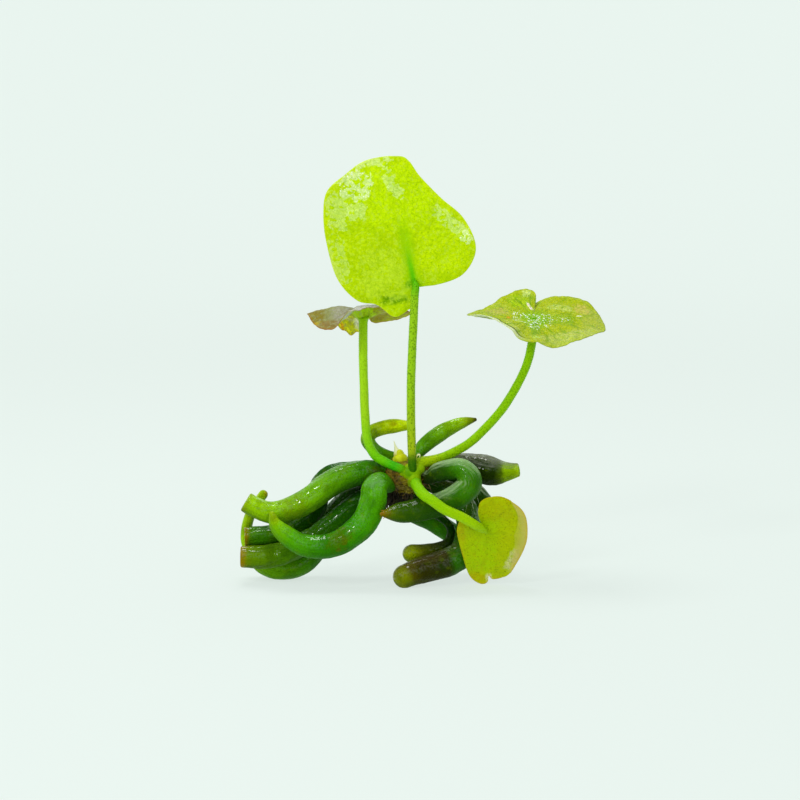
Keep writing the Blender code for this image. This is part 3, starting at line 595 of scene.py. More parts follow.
# How each tuber looks: its end, the colours at distances (mm) from its tip, stain spots as
# (centre, radius, colour, depth), one of them a painted sheen, the depth of its ridges, its
# streaks, the painted shade on its underside and the painted sheen on its top.
TUBER_LOOKS = {
    "tuber_upper_left": dict(end="blunt", slot="tuber_green", ridges=0.08, bands=[
        (0, tint(158, 208, 0)), (4, tint(156, 208, 0)), (9, tint(130, 186, 0)),
        (18, tint(104, 168, 0)), (25, tint(64, 138, 0)), (31, tint(42, 114, 0)),
        (36, tint(40, 90, 0))], dry=0.34, below=0.7, rim=0.25,
        stains_and_sheen=[((-9.2, -3.6, 23.0), 1.8, BROWN, 0.6), ((-25.5, -6.5, 16.5), 3.0, OLIVE, 0.5)],
        face=tint(172, 200, 30)),
    "tuber_arched_left": dict(end="blunt", slot="tuber_green", ridges=0.14, bands=[
        (0, tint(74, 132, 0)), (3, tint(58, 118, 0)), (10, tint(36, 94, 0)),
        # The near-black stop at 15 mm paints the shade where this tuber passes behind the upper
        # one.
        (15, tint(12, 64, 0)), (24, tint(30, 92, 0)), (30, tint(60, 134, 0)),
        (38, tint(74, 136, 0))], rim=0.8, face=tint(150, 150, 40), dry=0.4),
    "tuber_hooked_left": dict(end="pointed", slot="tuber_green", ridges=0.04, bands=[
        (0, tint(160, 190, 0)), (2.5, tint(132, 194, 0)), (7, tint(84, 168, 0)),
        (14, tint(50, 134, 0)), (22, tint(60, 148, 0)), (30, tint(88, 170, 0)),
        (36, tint(56, 138, 0)), (43, tint(26, 90, 0))], dry=0.3,
        stains_and_sheen=[((-16.9, -11.0, 10.9), 2.6, tint(92, 88, 0), 0.55),
                ((-29.7, -10.2, 14.4), 0.8, BROWN, 0.4),
                # The last spot is a painted sheen on the top near the crown.
                ((-9.8, -9.4, 21.4), 1.8, tint(110, 160, 96), 0.6)]),
    "tuber_lower_left": dict(end="blunt", slot="tuber_olive", ridges=0.14, bands=[
        (0, tint(140, 144, 0)), (2, tint(104, 140, 0)), (9, tint(76, 124, 0)),
        # The near-black stop at 28 mm paints the shade inside the hollow between the upper and the
        # hooked tubers.
        (16, tint(50, 106, 0)), (22, tint(34, 98, 0)), (28, tint(16, 70, 0))],
        rim=0.9, face=tint(176, 150, 36), dry=0.4),
    "tuber_curled_left": dict(end="round", slot="tuber_green", ridges=0.04, bands=[
        (0, tint(176, 210, 0)), (13, tint(164, 212, 0)), (20, tint(104, 164, 0)),
        (27, tint(58, 126, 0)), (36, tint(54, 120, 0)), (44, DARK_GREEN), (50, DEEP_GREEN)],
        stains_and_sheen=[((-31.4, -0.2, 17.7), 0.8, RUST, 0.8)], below=0.3),
    "tuber_hairpin_right": dict(end="pointed", slot="tuber_dark", ridges=0.08, bands=[
        (0, tint(150, 104, 10)), (1.2, tint(120, 104, 0)), (2.6, tint(72, 96, 0)),
        (5.0, tint(48, 82, 0)), (12, tint(28, 68, 0)), (17, tint(52, 112, 0)),
        (24, tint(60, 128, 0)), (27, tint(40, 84, 4)), (31, tint(34, 46, 4)),
        (36, tint(56, 34, 14))], dry=0.46, wet=0.45, painted_sheen_from=10.0,
        painted_sheen=tint(176, 204, 150), painted_sheen_depth=0.68),
    "tuber_dark_right": dict(end="blunt", slot="tuber_brown", ridges=0.06, bands=[
        (0, tint(176, 216, 0)), (2.4, tint(168, 210, 0)), (3.4, tint(84, 108, 0)),
        (4.6, tint(28, 46, 0)), (10, tint(22, 40, 0)), (20, tint(34, 58, 0))],
        rim=0.1, face=tint(170, 206, 0), streak_and_shade=tint(14, 20, 0), painted_sheen_depth=0.75,
        painted_sheen=tint(134, 134, 118), drift=1.6, below=0.3),
    "tuber_foot_right": dict(end="round", slot="tuber_brown", ridges=0.05, bands=[
        (0, tint(130, 140, 0)), (3.4, tint(120, 128, 0)), (4.6, tint(78, 70, 0)),
        (6.5, tint(46, 38, 0)), (12, tint(34, 36, 0)), (13.4, tint(40, 100, 0)),
        (20, tint(46, 112, 0)), (28, DARK_GREEN)], dry=0.34, painted_sheen=tint(124, 104, 64),
        painted_sheen_depth=0.3, streak_and_shade=tint(26, 34, 0), drift=1.6, streaks=0.15),
    "tuber_thin_neck_right": dict(end="round", slot="tuber_olive", ridges=0.05, bands=[
        (0, tint(160, 174, 0)), (2.4, tint(152, 166, 0)), (4.2, tint(104, 108, 0)),
        (9, tint(48, 66, 0)), (14, tint(12, 54, 0))], dry=0.36, drift=2.0,
        painted_sheen=tint(112, 108, 60), painted_sheen_depth=0.3),
    "tuber_back_gap": dict(end="round", slot="tuber_green", ridges=0.04, bands=[
        (0, OLIVE), (6, GREEN), (14, tint(60, 140, 0)), (22, DARK_GREEN)]),
    "tuber_back_right": dict(end="round", slot="tuber_dark", ridges=0.05, bands=[
        (0, OLIVE), (5, DARK_GREEN), (20, tint(36, 70, 0))],
        painted_sheen=tint(202, 216, 178), painted_sheen_depth=0.95),
    "tuber_up_left": dict(end="round", slot="tuber_yellow_green", ridges=0.03, bands=[
        (0, tint(214, 240, 0)), (3, tint(214, 238, 0)), (8, tint(190, 214, 0)),
        (11, tint(112, 170, 0)), (15, tint(84, 156, 0)), (20, tint(96, 140, 0))],
        stains_and_sheen=[((-6.2, 3.6, 31.2), 0.9, RUST, 0.5), ((-10.0, 3.6, 29.4), 1.2, OLIVE, 0.6)],
        below=0.2, streaks=0.2),
    "tuber_up_right": dict(end="pointed", slot="tuber_yellow_green", ridges=0.03, bands=[
        (0, BROWN), (0.8, tint(140, 150, 0)), (4, tint(156, 198, 0)), (9, tint(116, 178, 0)),
        (16, tint(72, 146, 0)), (20, tint(96, 140, 0))], below=0.3, streaks=0.2),
}
TUBER_DEFAULTS = dict(stains_and_sheen=[], streaks=0.3, streak_and_shade=DEEP_GREEN, rim=0.6, below=0.4,
                      face=tint(170, 160, 50), dry=0.4, painted_sheen=LIME, painted_sheen_depth=0.0,
                      drift=5.0, painted_sheen_from=-10.0, wet=1.0)
ENDS = {"blunt": blunt_end(), "round": round_end(), "pointed": round_end(6)}


def tuber_finish(name, look, length):
    """Wet, waxy skin: colour bands from the tip, faint streaks, stain spots, painted shade
    underneath, a painted sheen on top and wet specks.
    """
    finish = Finish(name + "_skin")
    strand = finish.attribute("strand")
    from_tip, along, up = finish.parts(finish.attribute("run"))
    drift = finish.noise(finish.place, 230.0, 3.0) - 0.5
    stops = [(mm / length, colour) for mm, colour in look["bands"]]
    colour = finish.ramp((from_tip + drift * look["drift"]) / length, stops)
    streaks = finish.noise(strand, 2.4, 4.0, 0.6)
    mottle = finish.noise(finish.place, 620.0, 4.0, 0.6)
    blotch = finish.noise(finish.place, 300.0, 2.0)
    colour = finish.mix(streaks.step(0.42, 0.72) * look["streaks"], colour, look["streak_and_shade"])
    colour = finish.mix(mottle.step(0.52, 0.72) * 0.3, colour, OLIVE)
    colour = finish.mix(blotch.step(0.5, 0.35) * 0.3, colour, DEEP_GREEN)
    # Painted shade: the faces that look down are darkened towards the streak colour.
    below = 1 - (up + drift).step(-0.9, 0.35)
    colour = finish.mix(below * look["below"], colour, look["streak_and_shade"])
    # Painted sheen: the faces that look up turn pale past a given distance from the tip.
    above = (up + (streaks - 0.5) * 1.6).step(0.3, 1.1)
    above = above * from_tip.step(look["painted_sheen_from"], look["painted_sheen_from"] + 5.0)
    colour = finish.mix(above * look["painted_sheen_depth"], colour, look["painted_sheen"])
    # Stain spots; on the hooked tuber one spot is a painted sheen.
    for centre, radius, stain_and_painted_light, depth in look["stains_and_sheen"]:
        broken = finish.spot(centre, radius, 2.6) * (0.55 + 0.45 * mottle.step(0.4, 0.6))
        colour = finish.mix(broken * depth, colour, stain_and_painted_light)
    if look["end"] == "blunt":
        rim = (1 - (from_tip + (mottle - 0.5) * 2.6).calc("ABSOLUTE").step(0.1, 1.7))
        colour = finish.mix(rim * look["rim"], colour, tint(146, 114, 0))
        face = 1 - from_tip.step(-0.5, -0.05)
        colour = finish.mix(face * 0.6, colour, look["face"])
    pits = finish.noise(finish.place, 2300.0, 2.0, 0.6)
    grit = finish.noise(finish.place, 5200.0, 2.0, 0.6)
    height = streaks * 0.35 + pits * 0.9 + grit * 0.25
    film = blotch.step(look["dry"], look["dry"] + 0.1) * (up + drift).step(-0.1, 0.5)
    droplets = pits.step(0.46, 0.54)
    return finish.surface(colour, 0.45 - 0.12 * film + 0.15 * mottle, height, 0.8, 0.0005, **{
        "Coat Weight": droplets * film * look["wet"], "Coat Roughness": 0.1,
        "Specular IOR Level": 0.15, "Specular Tint": (0.5, 1.0, 0.1, 1.0),
        "Subsurface Weight": 0.1, "Subsurface Radius": (0.6, 1.0, 0.1),
        "Subsurface Scale": 0.0007})


def build_tuber(name, look, sizes):
    """A tuber's skin.

    The relief is 1 less ridges that run lengthwise, 1 - |cos|, waving a little round the
    tuber, plus slow swellings and fine lumps. It never stands out past the solid.
    """
    look = {**TUBER_DEFAULTS, **look}
    seed = sorted(TUBER_LOOKS).index(name)
    count = 5 + seed % 3

    def relief(along, angle, place):
        sway = 0.5 * np.sin(along / 6.0 + seed) + 0.3 * waves(place, seed, 9.0)
        ridge = np.abs(np.cos((angle + sway) * count / 2)) ** 0.7
        lumps = waves(place, seed + 40, 4.5)
        grain = waves(place, seed + 80, 1.3)
        return (1 - look["ridges"] * sizes.ridge_depth * (1 - ridge) - 0.012
                + 0.014 * lumps + 0.006 * grain)

    points, faces, attributes = tube(
        ROUTES[name], 230, 52, ENDS[look["end"]], TO_VIEWER, relief)
    points[:, 2] = np.maximum(points[:, 2], 0)
    length = attributes["run"][:, 0].max()
    material = tuber_finish(name, look, length)
    return add_piece(name + "_skin", points, faces, attributes, material, name, look["slot"])


STALK_LOOKS = {
    "stalk_tall": dict(reference=TO_VIEWER, foot=tint(44, 100, 0), low=tint(164, 184, 20),
                       high=tint(150, 196, 24), tip=tint(84, 180, 0), foot_mm=4.6, swell=0.2,
                       specks=0.8, join=0.2),
    "stalk_left": dict(reference=TO_VIEWER, foot=tint(56, 174, 10), low=tint(98, 190, 0),
                       high=tint(162, 210, 24), tip=tint(150, 202, 0), foot_mm=5.0, swell=0.05,
                       specks=0.25, join=1.0, join_mm=(2.8, 5.2)),
    "stalk_right": dict(reference=TO_VIEWER, foot=tint(164, 194, 6), low=tint(140, 188, 0),
                        high=tint(136, 192, 0), tip=tint(110, 184, 0), foot_mm=5.0, swell=0.3,
                        specks=0.5, join=0.8),
    "stalk_small": dict(reference=UPWARDS, foot=tint(110, 186, 0), low=tint(124, 192, 0),
                        high=tint(158, 200, 0), tip=tint(150, 186, 0), foot_mm=4.0, swell=0.3,
                        specks=0.15, join=0.8),
}


def stalk_finish(name, look):
    """Soft green skin with dark specks between the raised dots."""
    finish = Finish(name + "_skin")
    from_tip, along, dots = finish.parts(finish.attribute("run"))
    blend = finish.noise(finish.place, 300.0, 3.0)
    colour = finish.mix((along + blend * 6.0).step(8.0, 24.0), look["low"], look["high"])
    colour = finish.mix(1 - (along + blend).step(look["foot_mm"], look["foot_mm"] + 3.0),
                        colour, look["foot"])
    colour = finish.mix(1 - from_tip.step(1.0, 6.0), colour, look["tip"])
    specks = finish.cells(finish.place, 2400.0, "F1")
    colour = finish.mix((1 - specks.step(0.16, 0.5)) * look["specks"], colour,
                        tint(70, 110, 0))
    join = 1 - (along + blend).step(*look.get("join_mm", (1.2, 3.4)))
    colour = finish.mix(join * look["join"], colour, SHEATH_GREEN)
    height = specks + 0.4 * finish.noise(finish.place, 4000.0)
    return finish.surface(colour, 0.45, height, 0.6, 0.00015, **{
        "Coat Weight": 0.02, "Coat Roughness": 0.25, "Specular IOR Level": 0.2,
        "Specular Tint": (0.6, 1.0, 0.1, 1.0),
        "Subsurface Weight": 0.12, "Subsurface Radius": (0.6, 1.0, 0.1),
        "Subsurface Scale": 0.0006})


def build_stalk(name, look, sizes):
    """A stalk's skin: round, with a fine crop of raised dots and a swollen foot.

    The relief is 1 plus the crests of two crossed rows of waves, so that the dots stand in
    a staggered pattern, plus a swelling that fades with the distance from the foot.
    """
    def relief(along, angle, place):
        pitch = 2 * math.pi / 0.75
        wobble = waves(place, 7, 3.0)
        row = np.sin(along * pitch + 9 * angle + wobble)
        cross = np.sin(along * pitch - 9 * angle + 1.3 * wobble)
        dots = smooth_step(row * cross, 0.45, 1.0)
        foot = look["swell"] * np.exp(-(along / 3.0) ** 2)
        return 1 - sizes.dot_height + sizes.dot_height * dots + 0.012 * wobble + foot

    route = STALK_HEADS[name] + ROUTES[name] + STALK_TAILS[name]
    points, faces, attributes = tube(route, 440, 48, FLAT_END, look["reference"], relief)
    return add_piece(name + "_skin", points, faces, attributes, stalk_finish(name, look),
                     name, "stalk")


# Leaves

def fan(join, lean, arch, rim, columns, rows, wave, fold, sizes):
    """A thin blade that fans out from where its stalk joins: points, faces, attributes.

    A point at fraction s of the way to the rim point (across, along, lift) stands at
    s * across and s * along in the plane, and s * s * lift + 4 * s * (1 - s) * arch off it,
    plus the blade's own waves and the step up to a margin that is folded over. The two faces
    stand half the thickness off this surface. The attribute blade is across, along and s.
    The attribute face is 1 on the upper face, and 1 where the margin is folded.
    """
    slope = math.radians(lean)
    across = np.array((1.0, 0, 0))
    along = np.array((0, math.sin(slope), math.cos(slope)))
    normal = np.cross(across, along)
    edge, run = smooth_curve(rim, columns)
    turning = np.sum(edge[:-1, 0] * edge[1:, 1] - edge[1:, 0] * edge[:-1, 1])
    if turning < 0:
        edge = edge[::-1]
    side = np.linspace(0, 1, columns)[None, :]
    s = np.linspace(0, 1, rows + 1)[1:, None] ** 0.85
    s, side = np.broadcast_arrays(s, side)
    flat = edge[None, :, :2] * s[..., None]
    folded = fold(s, side)
    height = s * s * edge[None, :, 2] + 4 * s * (1 - s) * arch
    height = height + wave(flat[..., 0], flat[..., 1], s, side) + FOLD_STEP * folded
    middle = (np.asarray(join) + flat[..., :1] * across + flat[..., 1:] * along
              + height[..., None] * normal)
    face = unit(np.cross(np.gradient(middle, axis=0), np.gradient(middle, axis=1)))
    taper = 1 - 0.72 * smooth_step(s, 0.86, 1.0)
    taper = taper * (0.35 + 0.65 * smooth_step(np.minimum(side, 1 - side), 0, 0.02))
    half = 0.5 * sizes.blade_thickness * taper[..., None]
    upper = middle + face * half
    lower = middle - face * half

    count = rows * columns
    pole = np.asarray(join, float)
    pole_half = normal * 0.5 * sizes.blade_thickness
    points = np.vstack([upper.reshape(-1, 3), lower.reshape(-1, 3),
                        [pole + pole_half, pole - pole_half]])
    index = np.arange(count).reshape(rows, columns)
    top = np.stack([index[:-1, :-1], index[1:, :-1], index[1:, 1:], index[:-1, 1:]], axis=-1)
    top = top.reshape(-1, 4)
    brim, start, end = index[-1], index[:, 0], index[:, -1][::-1]
    walls = [np.stack([line[:-1], line[:-1] + count, line[1:] + count, line[1:]], axis=1)
             for line in (brim, start, end)]
    faces = np.vstack([top, top[:, ::-1] + count, *walls]).tolist()
    top_pole, low_pole = 2 * count, 2 * count + 1
    first = index[0]
    fans = np.stack([np.full(columns - 1, top_pole), first[:-1], first[1:]], axis=1)
    under = np.stack([np.full(columns - 1, low_pole), first[1:] + count, first[:-1] + count],
                     axis=1)
    faces += fans.tolist() + under.tolist()
    faces.append([top_pole, low_pole, int(first[0]) + count, int(first[0])])
    faces.append([top_pole, int(first[-1]), int(first[-1]) + count, low_pole])

    blade = np.concatenate([flat, s[..., None]], axis=-1)
    blade = np.vstack([blade.reshape(-1, 3)] * 2 + [np.zeros((2, 3))])
    marks = np.zeros((len(points), 3))
    marks[:count, 0] = 1
    marks[top_pole, 0] = 1
    marks[:2 * count, 1] = np.tile(folded.ravel(), 2)
    return points, faces, {"blade": blade, "face": marks}


FOLD_STEP = 0.22


def flat_margin(s, side):
    """No folded margin."""
    return 0 * s


def small_margin(s, side):
    """The small leaf's right margin lies folded over, widest part of the way down."""
    width = 0.30 * np.clip(1 - np.abs(side - 0.635) / 0.17, 0, 1) ** 0.7
    return smooth_step(s, 1 - width - 0.012, 1 - width + 0.012) * (width > 0.01)


def plane_waves(x, y, seed, size):
    """The wave field in the blade's own plane."""
    return waves(np.stack([x, y, 0 * x], axis=-1), seed, size)


def tall_wave(x, y, s, side):
    """Low, wide bulges, a groove along the midrib and a rim that waves."""
    bulge = 0.3 * plane_waves(x, y, 21, 8.0) * s + 0.05 * plane_waves(x, y, 22, 2.6)
    midrib = -0.25 * np.exp(-((x + 0.19 * y) / 0.8) ** 2) * smooth_step(y, -0.5, 1) * (1 - s)
    crease = -0.35 * np.exp(-((y + 3.0 - 0.15 * (x + 4.3)) / 0.5) ** 2
                            - ((x + 4.3) / 2.4) ** 2)
    return bulge + midrib + crease


def small_wave(x, y, s, side):
    """Shallow folds that fan out from the stalk."""
    turn = np.arctan2(y, x)
    return (0.08 * np.cos(turn * 6 + 0.5) * s * smooth_step(s, 0.1, 0.5)
            + 0.12 * plane_waves(x, y, 23, 5.0) * s)


def side_wave(x, y, s, side):
    """Puckers that grow towards the rim."""
    return (0.16 * plane_waves(x, y, 24, 4.5) + 0.06 * plane_waves(x, y, 25, 1.7)) * s


def left_wave(x, y, s, side):
    """Puckers, a crest behind the front rim, and crumpled facets on the flap at the back."""
    crest = 1.75 * np.exp(-((x + 3.3) / 5.4) ** 2 - ((y + 2.6) / 2.0) ** 2)
    crest = crest * smooth_step(s, 0, 0.25)
    flap = np.exp(-((x + 3.2) / 2.6) ** 2 - ((y - 7.6) / 2.6) ** 2)
    return side_wave(x, y, s, side) + crest + 0.35 * flap * plane_waves(x, y, 26, 2.2)


def leaf_finish(name, look):
    """A blade with a net of veins, ribs that fan out, a tinted rim, patches, some of them painted
    shade, sheen and highlights, and wet specks with a painted glint.
    """
    finish = Finish(name + "_blade")
    blade = finish.attribute("blade")
    x, y, s = finish.parts(blade)
    top, folded, spare = finish.parts(finish.attribute("face"))
    reach = (x * x + y * y) ** 0.5
    turn = y.calc("ARCTAN2", x)
    cloud = finish.noise(blade, 0.16, 3.0)
    fleck = finish.noise(blade, 1.2, 3.0, 0.65)
    dots = finish.noise(blade, 3.0, 2.0)
    fanned = finish.node("ShaderNodeCombineXYZ", None, {0: turn * 5.0, 1: reach * 0.16})
    streaks = finish.noise(fanned, 1.3, 3.0, 0.6)
    swirl = finish.node("ShaderNodeTexNoise", None, {
        "Vector": blade, "Scale": 0.9, "Detail": 2.0}, out="Color")
    bent = finish.node("ShaderNodeVectorMath", {"operation": "ADD"}, {0: blade, 1: swirl})
    net = finish.cells(bent, look["net"])
    lines = 1 - net.step(0.02, 0.2)
    chance = finish.parts(finish.node("ShaderNodeTexVoronoi", {"feature": "F1"}, {
        "Vector": bent, "Scale": 1.3}, out="Color"))[0]
    ribs = ((turn * look["ribs"] + cloud * 1.2).calc("SINE")).step(0.9, 1.0)
    ribs = ribs * (1 - s.step(0.5, 0.85)) * reach.step(0.8, 3.0)
    colour = finish.mix(cloud.step(0.35, 0.7) * 0.6, look["colour"], look["pale"])
    under = finish.mix(cloud.step(0.3, 0.7), look["under"], look["under_pale"])
    colour = finish.mix(top, under, colour)
    heart = 1 - (reach + cloud * 2.0).step(look["heart"] * 0.35, look["heart"] * 1.4)
    colour = finish.mix(heart * 0.7, colour, look["centre"])
    # Patches: the leaf's own colours, and on some leaves painted shade in a crease, painted sheen
    # and painted highlights.
    for centre, half, turned, stain_and_painted_light, depth in look["patches"]:
        mask = finish.patch(x, y, centre, half, turned, 1.1)
        mask = mask * (0.45 + 0.55 * fleck.step(0.42, 0.52))
        colour = finish.mix(mask * depth, colour, stain_and_painted_light)
    # Cells: a pale mottle, on the tall leaf mostly with painted sheen over it.
    for centre, half, turned, stain_and_painted_light, depth in look["cells"]:
        mask = finish.patch(x, y, centre, half, turned, 0.8)
        mask = (mask + chance - 1.15).step(0.0, 0.2) * (0.7 + 0.3 * fleck.step(0.42, 0.52))
        colour = finish.mix(mask * depth, colour, stain_and_painted_light)
    for centre, half, turned, stain_and_painted_light, depth in look["under_patches"]:
        mask = finish.patch(x, y, centre, half, turned, 1.1) * (1 - top)
        colour = finish.mix(mask * depth, colour, stain_and_painted_light)
    colour = finish.mix(lines * look["net_depth"], colour, look["vein"])
    colour = finish.mix(fleck.step(0.54, 0.64) * look["fleck_depth"], colour, look["vein"])
    colour = finish.mix(dots.step(0.6, 0.68) * look["dot_depth"], colour, look["dot"])
    colour = finish.mix((1 - fleck.step(0.38, 0.47)) * look["cell_depth"], colour,
                        look["cell"])
    colour = finish.mix(ribs * look["rib_depth"], colour, look["vein"])
    fade = reach.step(1.0, 3.0) * (1 - s.step(0.75, 1.0))
    colour = finish.mix(streaks.step(0.5, 0.68) * fade * look["streaks"], colour,
                        look["vein"])
    if name == "leaf_tall":
        middle = (x + 0.19 * y + (cloud - 0.5) * 0.8).calc("ABSOLUTE")
        above = y.step(-0.4, 0.8)
        broad = (1 - middle.step(0.4, 2.2)) * above * (1 - y.step(9.0, 15.0))
        colour = finish.mix(broad * 0.6, colour, tint(144, 200, 0))
        narrow = (1 - middle.step(0.1, 1.0)) * above * (1 - y.step(2.0, 9.0))
        colour = finish.mix(narrow * 0.85, colour, tint(84, 188, 4))
    if look["fold"] is not flat_margin:
        colour = finish.mix(folded * (0.25 + 0.5 * s.step(0.74, 0.94)), colour,
                            look["fold_colour"])
        crack = folded.step(0.05, 0.5) * (1 - folded.step(0.5, 0.95))
        colour = finish.mix(crack * 0.25, colour, look["vein"])
    margin = (s + (fleck - 0.5) * 0.03).step(look["rim_from"], 1.0)
    margin = margin * (1 - look["rim_patchy"] * (1 - cloud.step(0.4, 0.55)))
    colour = finish.mix(margin * look["rim_depth"], colour, look["rim"])
    for centre, half, turned, stain_and_painted_light, beyond in look["brims"]:
        mask = finish.patch(x, y, centre, half, turned)
        edge = s + (fleck - 0.5) * 0.03
        colour = finish.mix(edge.step(0.885, 0.9) * mask * 0.8, colour, beyond)
        line = edge.step(0.83, 0.86) * (1 - edge.step(0.885, 0.9))
        colour = finish.mix(line * mask * 0.85, colour, stain_and_painted_light)
    wet = finish.noise(finish.place, 1500.0, 2.0, 0.6)
    beads = finish.cells(finish.place, 2500.0, "F1")
    coat = 0 * wet + look["coat"]
    # Wet specks: a coat, and a painted near-white glint mixed into the colour.
    for centre, half, turned, threshold in look["specks"]:
        mask = finish.patch(x, y, centre, half, turned, 0.9)
        glint_drops = wet.step(threshold, threshold + 0.03) * (1 - beads.step(0.3, 0.42))
        glint_drops = glint_drops * mask.step(0.1, 0.5)
        colour = finish.mix(glint_drops * 0.9, colour, GLINT_AND_HAIR_WHITE)
        coat = coat + glint_drops
    height = lines * -0.4 + fleck * 0.7 + ribs * -0.4 + wet * 0.3 - streaks * look["streaks"]
    roughness = look["roughness"] + 0.3 * (wet - 0.5)
    return finish.surface(colour, roughness, height, look["bump"], 0.0002, **{
        "Coat Weight": coat, "Coat Roughness": 0.12,
        "Subsurface Weight": 0.2, "Subsurface Radius": (0.8, 1.0, 0.1),
        "Subsurface Scale": 0.0008, "Specular IOR Level": look["gloss"],
        "Specular Tint": look["shine"] + (1.0,)})


# Near-white: a painted glint on the leaves' wet specks, and the palest tone of the pale root
# hairs.
GLINT_AND_HAIR_WHITE = tint(250, 255, 246)
# A pale tint: partly the leaf's own mottle, partly painted sheen.
PALE_MOTTLE_AND_SHEEN = tint(226, 244, 172)
